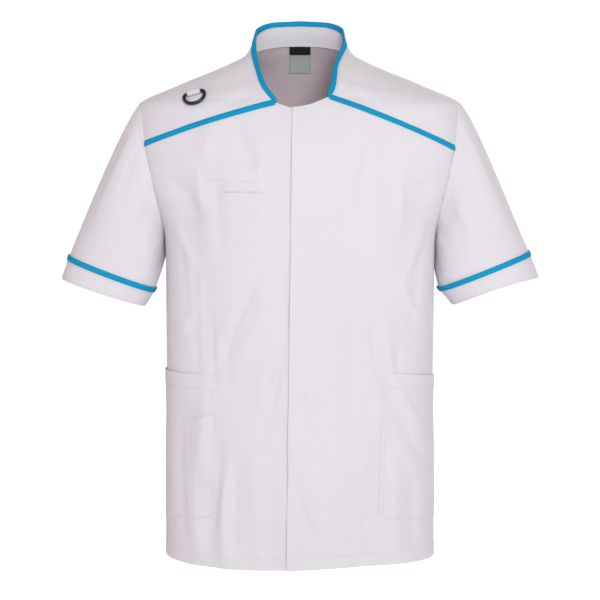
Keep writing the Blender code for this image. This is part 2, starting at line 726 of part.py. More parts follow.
def make_yoke_trim(half, trim):
    seam = yoke_seam(half)
    seam[:, 1] += SEAM_GAP / 2
    t = np.linspace(0, 1, len(seam))
    rows = []
    for d in (-0.5, 0.0, 0.5):
        height = seam[:, 1] + d * TRIM_WIDTH
        share = seam[:, 0].copy()
        share[-1] -= 0.004 + 0.006 * (d + 0.5)
        share[0] += 0.014 + 0.012 * (0.5 - d)
        rows.append(on_body(half.side, share, height, np.full_like(t, SEAM_GAP * 1.6 + TRIM_WALL)))
    sheet("yoke_trim_" + half.name, np.stack(rows), trim, TRIM_WALL, half.side)


def spot_on(panel, x, z):
    """Row and column, with fractions, of the panel's point seen at x and z from the front."""
    away = np.hypot(panel[..., 0] - x, panel[..., 2] - z)
    spot = np.array(np.unravel_index(np.argmin(away), panel.shape[:2]), float)
    for _ in range(20):
        here = at_spots(panel, spot)[[0, 2]]
        slopes = np.stack([
            (at_spots(panel, spot + step) - at_spots(panel, spot - step))[[0, 2]] / 0.2
            for step in (np.array([0.1, 0]), np.array([0, 0.1]))
        ], axis=-1)
        spot = spot + 0.7 * np.linalg.solve(slopes, np.array([x, z]) - here)
        spot = np.clip(spot, 0.11, np.array(panel.shape[:2]) - 1.11)
    return spot


def at_spots(values, spots):
    """Values of a panel's grid at rows and columns with fractions."""
    low = np.clip(np.floor(spots).astype(int), 0, np.array(values.shape[:2]) - 2)
    part = spots - low
    r, c = low[..., 0], low[..., 1]
    v, u = part[..., :1], part[..., 1:]
    return (
        values[r, c] * (1 - u) * (1 - v) + values[r, c + 1] * u * (1 - v)
        + values[r + 1, c] * (1 - u) * v + values[r + 1, c + 1] * u * v
    )


def grid_out(panel):
    """Outward direction at each point of a panel's grid."""
    return unit(np.cross(np.gradient(panel, axis=1), np.gradient(panel, axis=0)))


def lines_between(start, end, finer):
    """Shares from start to end at which the panel's grid lines, finer times as many, are crossed."""
    lines = np.arange(math.ceil(start * finer), end * finer) / finer
    inside = [line for line in lines if start + 0.2 < line < end - 0.2]
    return (np.array([start, *inside, end]) - start) / (end - start)


def corner_spots(panel, patch, to_side):
    """Row and column on the panel of each corner of a patch."""
    if not to_side:
        return [spot_on(panel, *corner) for corner in patch]
    last = panel.shape[1] - 1
    width = np.linalg.norm(panel[4, last] - panel[4, last - 1])
    rows = np.arange(len(panel))
    outer = [
        np.array([np.interp(corner[1], panel[:, last, 2], rows), last - SIDE_MARGIN / width])
        for corner in patch[1::2]
    ]
    return [spot_on(panel, *patch[0]), outer[0], spot_on(panel, *patch[2]), outer[1]]


def spread(corners, rows, columns):
    """Corners at the foot and at the mouth, spread over rows and columns."""
    u, v = columns[None, :, None], rows[:, None, None]
    foot_inner, foot_outer, mouth_inner, mouth_outer = (np.array(corner) for corner in corners)
    return (
        foot_inner * (1 - u) * (1 - v) + foot_outer * u * (1 - v)
        + mouth_inner * (1 - u) * v + mouth_outer * u * v
    )


def patch_spots(panel, patch, finer=1, to_side=False):
    """Rows and columns of a patch on the panel, foot to mouth and inner to outer edge."""
    corners = corner_spots(panel, patch, to_side)
    foot_inner, foot_outer, mouth_inner, mouth_outer = corners
    inner, outer = (foot_inner + mouth_inner)[1] / 2, (foot_outer + mouth_outer)[1] / 2
    foot, mouth = (foot_inner + foot_outer)[0] / 2, (mouth_inner + mouth_outer)[0] / 2
    columns = lines_between(inner, outer, finer)
    rows = lines_between(foot, mouth, finer)
    if to_side:
        return spread(corners, rows, columns)
    seen = spread(patch, rows, columns)
    return np.array([[spot_on(panel, *place) for place in row] for row in seen])


def on_panel(panel, spots, lift):
    """Points on a panel's cloth, moved out by lift."""
    out = unit(at_spots(grid_out(panel), spots))
    return at_spots(panel, spots) + out * np.asarray(lift, float)[..., None]


def gape(points, patch):
    """How far a hip pocket's mouth stands off the body."""
    mouth = patch.mouth_inner[1]
    across = np.linspace(0, 1, points.shape[1])[None]
    opened = ease(points[..., 2], mouth - POCKET_GAPE_DEPTH, mouth)
    return POCKET_GAPE * opened * np.sin(across**0.6 * math.pi * 0.86)


def make_pockets(cloth):
    base = ON_PANEL_GAP + WALL
    for half in HALVES:
        panel = mirrored(front_panel(half), half.side)
        patch = HIP_POCKETS[half.name]
        spots = patch_spots(panel, patch, to_side=True)
        points = on_panel(panel, spots, base + gape(at_spots(panel, spots), patch))
        sheet("hip_pocket_" + half.name, mirrored(points, half.side), cloth, side=half.side)
        if half.name == "right":
            pen = on_panel(points, patch_spots(points, PEN_POCKET), base)
            chest = on_panel(panel, patch_spots(panel, CHEST_POCKET, finer=2), base)
            band = on_panel(chest, patch_spots(chest, CHEST_BAND), base)
            sheet("pen_pocket", mirrored(pen, half.side), cloth, side=half.side)
            sheet("chest_pocket", mirrored(chest, half.side), cloth, side=half.side)
            sheet("chest_pocket_band", mirrored(band, half.side), cloth, side=half.side)


def make_labels(finishes):
    for (name, (top, foot)), finish in zip(LABELS.items(), finishes):
        height = np.linspace(foot, top, 4)[:, None] * np.ones((1, 5))
        x = np.linspace(-LABEL_HALF_WIDTH, LABEL_HALF_WIDTH, 5)[None] * np.ones((4, 1))
        girth = np.pi / 2 * (section_at(height[:, 0])[0] + section_at(height[:, 0])[2]) / 2
        share = 2 - np.abs(x) / girth[:, None]
        inside = on_body(1, share, height, np.full_like(share, -(WALL + ON_PANEL_GAP + BEND)))
        inside[..., 0] = x
        sheet(name, inside, finish, LABEL_WALL, side=-1)


# Watch ring and tab.


def ring_frame():
    """Place of the ring's bar and its directions: along the bar, off the cloth, down the slope."""
    x, z = RING_PLACE
    share = share_where(np.array([z]), np.array([x]), 0)
    spot = body(-1, share, np.array([z]))[0]
    off = body_out(-1, share, np.array([z]))[0]
    level = unit(np.cross(off, np.array([0, 0, 1.0])))
    level = level if level[0] > 0 else -level
    slope = np.cross(level, off)
    slope = slope if slope[2] > 0 else -slope
    along = level * math.cos(RING_TILT) + slope * math.sin(RING_TILT)
    down = -np.cross(off, along)
    down = down if down[2] < 0 else -down
    return spot, along, off, down


def d_outline():
    """The D of the ring's wire, as distance along the bar and distance below it."""
    points = [(x, 0.0) for x in np.linspace(-RING_HALF_BAR, RING_HALF_BAR, 5)]
    corner = RING_HALF_WIDTH - RING_HALF_BAR
    for turn in np.linspace(0, math.pi / 2, 5)[1:]:
        points.append((RING_HALF_BAR + corner * math.sin(turn), corner * (1 - math.cos(turn))))
    for turn in np.linspace(0, math.pi, 15)[1:-1]:
        bend = RING_DEPTH - corner
        points.append((RING_HALF_WIDTH * math.cos(turn), corner + bend * math.sin(turn) ** 0.9))
    for turn in np.linspace(math.pi / 2, 0, 5)[:-1]:
        points.append((-RING_HALF_BAR - corner * math.sin(turn), corner * (1 - math.cos(turn))))
    return points


def make_ring(finish):
    spot, along, off, down = ring_frame()
    bar = spot + off * (SEAM_GAP + TAB_WALL + TAB_PLAY + RING_WIRE / 2)
    fall = down * math.cos(RING_LEAN) - off * math.sin(RING_LEAN)
    wire = bpy.data.curves.new("watch_ring", "CURVE")
    wire.dimensions = "3D"
    wire.bevel_depth = RING_WIRE / 2 * MM
    wire.bevel_resolution = 2
    outline = d_outline()
    line = wire.splines.new("POLY")
    line.points.add(len(outline) - 1)
    for point, (x, d) in zip(line.points, outline):
        point.co = (*(Vector(along * x + fall * d) * MM), 1.0)
    line.use_cyclic_u = True
    wire.materials.append(finish)
    ring = bpy.data.objects.new("watch_ring", wire)
    ring.location = Vector(bar) * MM
    TUNIC.objects.link(ring)


def make_tab(cloth):
    """A strip folded round the bar: under it, round its lower side and back over it."""
    spot, along, off, down = ring_frame()
    turn_radius = RING_WIRE / 2 + TAB_PLAY
    centre = SEAM_GAP + TAB_WALL + turn_radius
    path = [(-TAB_LENGTH, SEAM_GAP + TAB_WALL), (-TAB_LENGTH * 0.5, SEAM_GAP + TAB_WALL)]
    for turn in np.linspace(-math.pi / 2, math.pi / 2, 9):
        path.append((turn_radius * math.cos(turn), centre + turn_radius * math.sin(turn)))
    path.append((-TAB_LENGTH * 0.45, centre + turn_radius * 0.35))
    path.append((-TAB_LENGTH, SEAM_GAP * 3 + TAB_WALL))
    columns = np.linspace(-TAB_HALF_WIDTH, TAB_HALF_WIDTH, 3)
    rows = [[spot + down * d + off * n + along * x for x in columns] for d, n in path]
    sheet("ring_tab", np.array(rows), cloth, TAB_WALL, outwards=True)


def clear_scene():
    for old in list(bpy.data.objects):
        bpy.data.objects.remove(old)


def make_tunic():
    white = material("white_poplin", (0.80, 0.78, 0.82), 0.8)
    blue = material("blue_trim", (0.005, 0.29, 0.53), 0.7)
    black = material("black_label", (0.01, 0.01, 0.01), 0.6)
    grey = material("grey_label", (0.45, 0.47, 0.46), 0.7)
    plastic = material("black_plastic", (0.015, 0.015, 0.017), 0.35)
    for half in HALVES:
        make_front(half, white)
        make_yoke(half, white)
        make_sleeve(half, white, blue)
        make_yoke_trim(half, blue)
    make_back(white)
    make_collar(white, blue)
    make_pockets(white)
    make_labels((black, grey))
    make_tab(white)
    make_ring(plastic)


clear_scene()
TUNIC = bpy.data.collections.new("medical_tunic")
bpy.context.scene.collection.children.link(TUNIC)
make_tunic()
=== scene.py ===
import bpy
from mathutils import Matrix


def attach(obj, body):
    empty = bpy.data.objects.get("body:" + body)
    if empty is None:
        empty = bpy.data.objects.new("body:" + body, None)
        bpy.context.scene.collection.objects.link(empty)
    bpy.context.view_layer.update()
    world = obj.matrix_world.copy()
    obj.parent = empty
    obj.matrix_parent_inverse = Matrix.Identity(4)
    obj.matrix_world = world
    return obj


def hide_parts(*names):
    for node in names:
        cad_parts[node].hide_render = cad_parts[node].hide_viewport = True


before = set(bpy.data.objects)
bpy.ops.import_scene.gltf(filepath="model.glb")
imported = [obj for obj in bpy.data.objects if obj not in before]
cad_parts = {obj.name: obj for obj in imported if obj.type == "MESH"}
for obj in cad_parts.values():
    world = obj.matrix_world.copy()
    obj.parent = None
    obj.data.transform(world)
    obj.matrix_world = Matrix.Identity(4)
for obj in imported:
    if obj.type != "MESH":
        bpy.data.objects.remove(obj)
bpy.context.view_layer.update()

import math
from collections import namedtuple

import bmesh
import bpy
import numpy as np
from mathutils import Vector
from mathutils.kdtree import KDTree

# The studio: a wide dish of matt white floor whose rim curves up all round. A broad soft light
# stands in front of the garment and one behind it, with a weak one at each side.

scene = bpy.context.scene
scene.view_settings.view_transform = "Standard"

FLOOR_HEIGHT = -0.95
FLOOR_FLAT_TO, FLOOR_UP_FROM, FLOOR_RISE = 4.5, 7.5, 3.5
FLOOR_REACH, FLOOR_STEPS = 9.0, 48
FLOOR_GLOW = 0.64
GARMENT_MIDDLE = Vector((0, 0, -0.38))
SENSOR_WIDTH, FOCAL_LENGTH = 36.0, 95.45
CAMERA_PLACE, CAMERA_TILT = (0.0, -2.45, -0.203), 90 - 3.96


def ease(value, start, end):
    """0 at start, 1 at end, with a soft ramp between."""
    t = np.clip((np.asarray(value, float) - start) / (end - start), 0.0, 1.0)
    return t * t * (3 - 2 * t)


def set_sockets(node, sockets):
    """Sets the plain values of a shader node's sockets, by their names in small letters."""
    for socket, value in sockets.items():
        node.inputs[socket.replace("_", " ").title()].default_value = value


def principled(name, colour, roughness, **sockets):
    """A new material and its shader, with plain values set on the shader's own sockets."""
    made = bpy.data.materials.new(name)
    made.use_nodes = True
    shader = made.node_tree.nodes["Principled BSDF"]
    shader.inputs["Base Color"].default_value = (*colour, 1.0)
    shader.inputs["Roughness"].default_value = roughness
    set_sockets(shader, sockets)
    return made, shader


floor_shape = bmesh.new()
bmesh.ops.create_grid(floor_shape, x_segments=FLOOR_STEPS, y_segments=FLOOR_STEPS, size=FLOOR_REACH)
for corner in floor_shape.verts:
    rise = ease(corner.co.to_2d().length, FLOOR_FLAT_TO, FLOOR_UP_FROM)
    corner.co.z = FLOOR_HEIGHT + FLOOR_RISE * float(rise)
floor_mesh = bpy.data.meshes.new("studio_floor")
floor_shape.to_mesh(floor_mesh)
floor_shape.free()
floor_mesh.shade_smooth()
floor = bpy.data.objects.new("studio_floor", floor_mesh)
scene.collection.objects.link(floor)
floor_finish, floor_shader = principled("studio_white", (0.90, 0.90, 0.91), 0.9)
floor_shader.inputs["Emission Color"].default_value = (0.96, 1.0, 0.98, 1.0)
seen = floor_finish.node_tree.nodes.new("ShaderNodeLightPath")
glow = floor_finish.node_tree.nodes.new("ShaderNodeMath")
glow.operation = "MULTIPLY"
glow.inputs[1].default_value = FLOOR_GLOW
floor_finish.node_tree.links.new(seen.outputs["Is Camera Ray"], glow.inputs[0])
floor_finish.node_tree.links.new(glow.outputs[0], floor_shader.inputs["Emission Strength"])
floor_mesh.materials.append(floor_finish)


def softbox(name, place, size, power, colour):
    """A square area light at place, turned to the garment's middle."""
    lamp = bpy.data.lights.new(name, "AREA")
    lamp.size = size
    lamp.energy = power
    lamp.color = colour
    made = bpy.data.objects.new(name, lamp)
    made.location = place
    aim = GARMENT_MIDDLE - Vector(place)
    made.rotation_euler = aim.to_track_quat("-Z", "Y").to_euler()
    made.visible_camera = False
    scene.collection.objects.link(made)


softbox("front_light", (0.5, -3.1, 0.72), 1.2, 63, (0.87, 0.985, 0.955))
softbox("left_light", (2.8, -0.4, 0.4), 1.6, 3, (1.0, 0.95, 0.97))
softbox("right_light", (-2.8, -0.4, 0.4), 1.6, 8, (1.0, 0.95, 0.97))
softbox("back_light", (1.2, 3.2, 1.2), 1.8, 52, (0.88, 0.99, 0.97))

sky = bpy.data.worlds.new("studio_air")
sky.use_nodes = True
sky.node_tree.nodes["Background"].inputs["Color"].default_value = (1.0, 0.83, 0.88, 1.0)
sky.node_tree.nodes["Background"].inputs["Strength"].default_value = 0.40
scene.world = sky

lens = bpy.data.cameras.new("camera")
lens.sensor_width = SENSOR_WIDTH
lens.lens = FOCAL_LENGTH
camera = bpy.data.objects.new("camera", lens)
camera.location = CAMERA_PLACE
camera.rotation_euler = (math.radians(CAMERA_TILT), 0.0, 0.0)
scene.collection.objects.link(camera)
scene.camera = camera


# The two fronts. White polyester and cotton poplin, cut with a lap that hides the fastening:
# the wearer's left front lies over the right one. The body's cloth all follows one surface,
# lofted through level sections; sizes are in millimetres.

MM = 0.001
WALL = 1.2
SEAM_GAP = 0.12
HEM_HEIGHT = -766.0
NAPE_HEIGHT = 24.0
SHOULDER_SEAM_SHARE = 0.975
SIDE_SEAM_REACH = 14.0
HEM_STITCH = 18.0
ARMHOLE_STITCH = 6.5
PLACKET_STITCH = 45.0
HEM_DOUBLED, HEM_FALL, HEM_PUCKER_REACH = 0.35, 3, 9
SEAM_DENT, SEAM_DENT_REACH = 0.5, 1.6
PLACKET_DOUBLED = 0.12
LAP_WAVE_REACH = 16
FAR = 99.0

Section = namedtuple("Section", "height half_width front back square_front square_back")
SECTIONS = [Section(*row) for row in [
    (-790, 208.5, 123, 118, 2.45, 2.45),
    (-640, 207.0, 122, 112, 2.45, 2.45),
    (-480, 205.0, 120, 106, 2.45, 2.45),
    (-380, 205.5, 122, 110, 2.45, 2.45),
    (-300, 206.0, 125, 117, 2.40, 2.40),
    (-265, 208.0, 126, 120, 2.35, 2.35),
    (-241, 216.0, 126, 122, 2.30, 2.30),
    (-206, 230.5, 125, 125, 2.30, 2.30),
    (-166, 243.0, 121, 126, 2.30, 2.30),
    (-133, 249.0, 115, 124, 2.30, 2.30),
    (-110, 250.0, 108, 122, 2.25, 2.25),
    (-85, 248.0, 99, 119, 2.20, 2.20),
    (-73.6, 246.0, 93, 117, 2.15, 2.15),
    (-66, 237.0, 88, 115, 2.10, 2.15),
    (-60, 224.0, 84.5, 114, 2.10, 2.10),
    (-48, 195.0, 76, 111, 2.05, 2.10),
    (-35.5, 165.5, 67, 107, 2.00, 2.05),
    (-23.5, 135.0, 59, 103, 2.00, 2.00),
    (-11, 106.0, 52, 98, 2.00, 2.00),
    (1, 84.0, 46, 93, 2.00, 2.00),
    (10, 77.0, 43, 88, 2.00, 2.00),
    (26, 68.5, 39, 80, 2.00, 2.00),
]]

SHOULDER_TIP_HEIGHT = -73.6
UNDERARM_HEIGHT = -270.0
ARMHOLE_MIDDLE = (SHOULDER_TIP_HEIGHT + UNDERARM_HEIGHT) / 2
ARMHOLE_REACH = {"front": -57.0, "back": 63.0}
ARMHOLE_SCOOP = 0.2
YOKE_SEAM_BOW = 2.5
LAP_FLAT_TO, LAP_FADE_TO = 21.0, 50.0
LAP_HEM_X = (0.0, 17.0)

Half = namedtuple("Half", "side name lap_top lap_hem yoke_end junction dip lap_lift")
HALVES = [
    Half(-1, "right", -17.0, -17.0, -134.0, (37.2, -74.0),
         [(-17.0, -85.0), (0.0, -84.4), (17.0, -81.0)], -0.4),
    Half(1, "left", -11.0, -20.0, -140.5, (43.2, -65.5),
         [(-11.0, -82.4), (0.0, -81.2), (17.0, -77.2)], 1.9),
]

HemRise = namedtuple("HemRise", "x rise")
HEM_LINE = [
    HemRise(-208, 3.0), HemRise(-150, 0.5), HemRise(-60, -1.5),
    HemRise(30, 0.5), HemRise(120, 4.0), HemRise(208, 2.0),
]

# The largest folds, each from one point to another as seen from the front or the back.
Fold = namedtuple("Fold", "x0 z0 x1 z1 width depth")
FRONT_FOLDS = [Fold(*row) for row in [
    (-74, -372, -116, -476, 15, -3.2),
    (-58, -362, -96, -470, 16, 2.4),
    (-26, -452, -50, -545, 15, -2.6),
    (104, -372, 120, -474, 15, -3.0),
    (126, -392, 134, -470, 15, 2.2),
    (76, -150, 42, -330, 26, -2.2),
    (42, -330, 40, -620, 24, -2.0),
    (-168, -215, -150, -460, 17, -3.0),
    (-190, -180, -128, -205, 20, -3.4),
    (176, -190, 140, -215, 20, -3.0),
    (-112, -640, -110, -766, 14, 3.0),
    (10, -610, 38, -745, 18, -2.6),
    (-146, -640, -134, -760, 15, -2.4),
    (128, -500, 176, -620, 16, 2.4),
    (94, -640, 90, -766, 16, -2.2),
]]
BACK_FOLDS = [Fold(*row) for row in [
    (-150, -170, -96, -420, 22, 3.4),
    (150, -175, 102, -430, 22, 3.4),
    (-60, -300, -40, -640, 24, -3.0),
    (48, -330, 66, -690, 24, -3.2),
    (-130, -470, -138, -766, 20, 3.6),
    (132, -500, 126, -766, 20, 3.4),
    (-20, -560, -4, -766, 22, 3.0),
    (-110, -95, 110, -98, 16, -1.6),
]]
FOLD_FADE = 45.0

# Smaller creases. bend is how far a crease bows, and lee is how much narrower its other side is.
Crease = namedtuple("Crease", "x0 z0 x1 z1 width depth bend lee")
FRONT_CREASES = [Crease(*row) for row in [
    (-10, -84, -11, -136, 6, 1.1, 0, 0.9),
    (-10, -316, -12, -454, 6, 1.1, 0.5, 0.8),
    (-11, -526, -13, -606, 6, 1.1, 0.5, 0.9),
    (-198, -178, -146, -240, 17, -3.0, 2, 0.8),
    (-206, -240, -134, -238, 34, -4.0, 0, 0.5),
    (-167, -250, -161, -510, 12, 2.2, 0, 0.8),
    (-152, -166, -144, -246, 8, 2.1, 2, 0.7),
    (-205, -172, -122, -200, 8, 1.8, 4, 0.6),
    (-190, -236, -146, -330, 9, 2.6, 6, 0.6),
    (-176, -262, -160, -430, 8, -1.7, 3, 0.7),
    (200, -178, 160, -246, 18, -2.4, -2, 0.8),
    (146, -240, 210, -242, 34, -4.0, 0, 0.5),
    (152, -168, 150, -250, 8, 2.1, -2, 0.7),
    (205, -176, 132, -200, 8, 1.8, -4, 0.6),
    (190, -240, 148, -345, 9, 2.6, -6, 0.6),
    (180, -262, 162, -430, 8, -1.7, -3, 0.7),
    (-100, -98, -62, -178, 14, -3.9, 0, 0.6),
    (-128, -100, -140, -168, 13, 3.0, 3, 0.8),
    (-52, -96, -56, -300, 12, 2.2, 5, 0.8),
    (-124, -150, -112, -310, 12, -2.5, 5, 0.8),
    (84, -102, 62, -250, 13, -3.6, -6, 0.7),
    (112, -112, 118, -300, 16, 2.7, 5, 0.7),
    (50, -110, 34, -300, 14, 2.5, -5, 0.8),
    (-58, -330, -118, -474, 8, -2.8, 6, 0.6),
    (-82, -352, -132, -474, 7, 2.1, 4, 0.7),
    (-146, -300, -142, -505, 7, 2.1, 3, 0.7),
    (-130, -376, -127, -505, 6, -2.2, 1, 0.7),
    (-114, -420, -112, -510, 6, 1.3, 1, 0.7),
    (-22, -444, -44, -536, 9, -3.6, 4, 0.7),
    (-40, -430, -64, -560, 10, 2.2, 4, 0.8),
    (-8, -490, 44, -548, 6, -1.8, 7, 0.7),
    (-8, -505, 34, -544, 5, 1.2, 6, 0.7),
    (-10, -470, 22, -482, 5, 1.0, 2, 0.7),
    (60, -330, 58, -600, 15, -3.0, 5, 0.8),
    (82, -350, 92, -560, 14, 2.7, 5, 0.8),
    (106, -384, 124, -498, 8, -2.8, 2, 0.6),
    (124, -392, 142, -480, 7, 2.1, 3, 0.7),
    (120, -470, 192, -622, 11, -4.4, 5, 0.7),
    (136, -470, 196, -580, 8, 2.1, 4, 0.7),
    (150, -420, 146, -486, 8, -2.2, 2, 0.8),
    (118, -556, 112, -752, 14, -4.9, 3, 0.8),
    (140, -590, 146, -752, 12, 3.9, 4, 0.8),
    (168, -610, 176, -760, 9, -2.6, 3, 0.7),
    (-140, -486, -158, -650, 12, 4.2, -5, 0.8),
    (-122, -552, -142, -748, 11, -5.2, -8, 0.7),
    (-158, -640, -148, -760, 11, 3.2, 4, 0.8),
    (-108, -612, -114, -770, 8, 2.4, 2, 0.7),
    (-176, -520, -172, -740, 9, -2.8, 3, 0.7),
    (-92, -590, -96, -768, 10, -2.8, 3, 0.7),
    (-64, -560, -56, -768, 14, 2.7, 4, 0.8),
    (-34, -600, -44, -768, 11, -1.8, 3, 0.8),
    (-12, -600, 26, -730, 9, -4.0, 7, 0.7),
    (14, -590, 46, -748, 11, 2.4, 5, 0.8),
    (74, -600, 66, -768, 12, -2.7, 4, 0.7),
    (94, -620, 90, -768, 10, 2.2, 3, 0.7),
    (-58, -46, -112, -62, 7, 1.3, 2, 0.7),
    (-70, -64, -114, -84, 7, -1.3, 2, 0.7),
    (60, -44, 114, -60, 7, 1.3, -2, 0.7),
    (72, -60, 120, -84, 7, -1.2, -2, 0.7),
    (-200, -92, -150, -112, 9, 2.2, 3, 0.7),
    (204, -96, 150, -114, 9, -2.0, 3, 0.7),
    (150, -330, 186, -400, 9, 2.6, 4, 0.6),
    (-150, -360, -190, -430, 9, 2.6, -4, 0.6),
]]
BACK_CREASES = [Crease(*row) for row in [
    (-206, -180, -120, -240, 9, 3.6, 5, 0.6),
    (-196, -214, -118, -310, 10, -3.2, -6, 0.8),
    (206, -184, 118, -246, 9, 3.6, -5, 0.6),
    (196, -220, 122, -316, 10, -3.2, 6, 0.8),
    (-90, -40, -30, -120, 12, 2.3, 6, 0.8),
    (94, -44, 34, -124, 12, -2.3, -6, 0.8),
    (-30, -200, -44, -420, 13, 2.7, 8, 0.7),
    (26, -260, 40, -480, 13, -2.7, -8, 0.7),
    (-104, -420, -70, -600, 10, 3.2, 6, 0.6),
    (96, -450, 60, -620, 10, 3.2, -6, 0.6),
    (-170, -360, -120, -470, 9, -2.8, 5, 0.7),
    (168, -380, 128, -500, 9, 2.8, -5, 0.7),
    (-90, -600, -78, -768, 10, -2.8, 4, 0.7),
    (-30, -640, -14, -768, 9, 2.8, -4, 0.7),
    (24, -600, 34, -768, 10, -2.7, 4, 0.7),
    (90, -640, 98, -768, 9, 2.8, 4, 0.7),
    (-176, -560, -168, -740, 9, 2.7, 3, 0.7),
    (172, -600, 180, -750, 9, -2.7, 3, 0.7),
]]

# Where the watch ring's tab is sewn on: the cloth lies smooth there.
RING_SPOT = np.array([-157.2, -63.39, -61.2])
SMOOTH_REACH = 22

SIDE_ROWS = 132
ARM_LOWER_STEPS = 50
LAP_COLUMNS = (5, 5, 7)
YOKE_COLUMNS = 88
QUARTER_STEPS = 48
QUARTER_TURN = np.linspace(0, math.pi / 2, QUARTER_STEPS + 1)
SHARE_STEPS = 241
SAMPLE = 0.002


def smooth_through(known_at, known, at):
    """Values of a smooth curve through the known points, never past their highs and lows."""
    known_at = np.asarray(known_at, float)
    known = np.asarray(known, float)
    at = np.asarray(at, float)
    width = np.diff(known_at)
    rise = np.diff(known) / width
    slope = np.zeros(len(known))
    same_way = rise[:-1] * rise[1:] > 0
    both = np.where(same_way, rise[:-1] * rise[1:], 0.0)
    slope[1:-1] = 2 * both / np.where(same_way, rise[:-1] + rise[1:], 1.0)
    slope[0], slope[-1] = rise[0], rise[-1]
    i = np.clip(np.searchsorted(known_at, at) - 1, 0, len(width) - 1)
    t = np.clip((at - known_at[i]) / width[i], 0.0, 1.0)
    return (
        known[i] * (1 + 2 * t) * (1 - t) ** 2
        + known[i + 1] * t * t * (3 - 2 * t)
        + width[i] * (slope[i] * t * (1 - t) ** 2 - slope[i + 1] * t * t * (1 - t))
    )


def section_at(height):
    """The columns of the section table, read at these heights."""
    heights = [row.height for row in SECTIONS]
    return [
        smooth_through(heights, [row[i] for row in SECTIONS], height)
        for i in range(1, len(Section._fields))
    ]


def ring_girths(half_width, reach, square):
    """Girth from the middle to each step of a quarter ring, as shares of that quarter."""
    angle = QUARTER_TURN[None, :]
    power = 2 / square[:, None]
    x = half_width[:, None] * np.sin(angle) ** power
    y = reach[:, None] * np.cos(angle) ** power
    steps = np.hypot(np.diff(x), np.diff(y))
    girth = np.concatenate([np.zeros((len(steps), 1)), np.cumsum(steps, axis=1)], axis=1)
    return girth / girth[:, -1:]


def fold_depth(x, z, folds):
    """How far the largest folds move the cloth out at each place."""
    moved = np.zeros_like(x)
    for fold in folds:
        along = np.array([fold.x1 - fold.x0, fold.z1 - fold.z0])
        t = ((x - fold.x0) * along[0] + (z - fold.z0) * along[1]) / (along @ along)
        t = np.clip(t, 0.0, 1.0)
        away = np.hypot(x - fold.x0 - t * along[0], z - fold.z0 - t * along[1])
        moved += fold.depth * np.exp(-((away / fold.width) ** 2))
    return moved


def crease_depth(x, z, creases):
    """How far the smaller creases move the cloth out; each fades at both its ends."""
    moved = np.zeros_like(x)
    for crease in creases:
        along = np.array([crease.x1 - crease.x0, crease.z1 - crease.z0])
        length = math.hypot(*along)
        t = ((x - crease.x0) * along[0] + (z - crease.z0) * along[1]) / length**2
        off = ((x - crease.x0) * along[1] - (z - crease.z0) * along[0]) / length
        off = off - crease.bend * (1 - (2 * np.clip(t, 0, 1) - 1) ** 2)
        width = np.where(off > 0, crease.width, crease.width * crease.lee)
        fade = ease(t, -0.05, 0.35) * (1 - ease(t, 0.65, 1.05))
        moved += crease.depth * np.exp(-((off / width) ** 2)) * fade
    return moved


def slack(x, z, turn):
    """The slight unevenness of cloth that hangs, longer downwards than across."""
    return (
        0.50 * np.sin(x / 23.0 + z / 160.0 + turn)
        + 0.26 * np.sin(x / 11.5 - z / 90.0 + 2.1 * turn)
        + 0.34 * np.sin(x / 41.0 + z / 37.0 + 0.7 * turn)
        + 0.16 * np.sin(x / 9.0 + z / 29.0 + 3.3 * turn)
    )


def body(side, share, height):
    """Points of the body's outer face. Share 0 is the centre front, 1 the side, 2 the back."""
    share, height = np.broadcast_arrays(np.asarray(share, float), np.asarray(height, float))
    shape = share.shape
    share, height = share.ravel(), height.ravel()
    half_width, front, back, square_front, square_back = section_at(height)
    behind = share > 1
    reach = np.where(behind, back, front)
    square = np.where(behind, square_back, square_front)
    quarter = np.where(behind, 2 - share, np.abs(share))
    girths = ring_girths(half_width, reach, square)
    angle = np.array([np.interp(q, g, QUARTER_TURN) for q, g in zip(quarter, girths)])
    across = np.sin(angle) ** (2 / square)
    deep = np.cos(angle) ** (2 / square) * np.where(behind, 1, -1)
    x = side * np.sign(share) * half_width * across
    y = reach * deep
    out = np.stack([x / half_width**2, y / reach**2])
    out = out / np.maximum(np.hypot(*out), 1e-12)
    front_part, back_part = ease(-y, 0, FOLD_FADE), ease(y, 0, FOLD_FADE)
    fold = (fold_depth(x, height, FRONT_FOLDS) + crease_depth(x, height, FRONT_CREASES)) * front_part
    fold += (fold_depth(x, height, BACK_FOLDS) + crease_depth(x, height, BACK_CREASES)) * back_part
    fold += slack(x, height, 0.0) * front_part + slack(x, height, 1.7) * back_part
    beside, above = (x - RING_SPOT[0]) / SMOOTH_REACH, (height - RING_SPOT[2]) / SMOOTH_REACH
    fold *= 1 - 0.9 * np.exp(-(beside**2) - above**2)
    return np.stack([x + out[0] * fold, y + out[1] * fold, height], axis=-1).reshape(shape + (3,))


def run_along(points):
    """Length of a line of points from its start to each of them."""
    steps = np.linalg.norm(np.diff(points, axis=0), axis=1)
    return np.concatenate([[0], np.cumsum(steps)])


def unit(vectors):
    """The vectors at length one."""
    return vectors / np.maximum(np.linalg.norm(vectors, axis=-1, keepdims=True), 1e-12)


def body_out(side, share, height):
    """The outward direction of the body's cloth."""
    along = body(side, share + SAMPLE, height) - body(side, share - SAMPLE, height)
    up = body(side, share, height + 1.0) - body(side, share, height - 1.0)
    return unit(np.cross(along, up)) * side


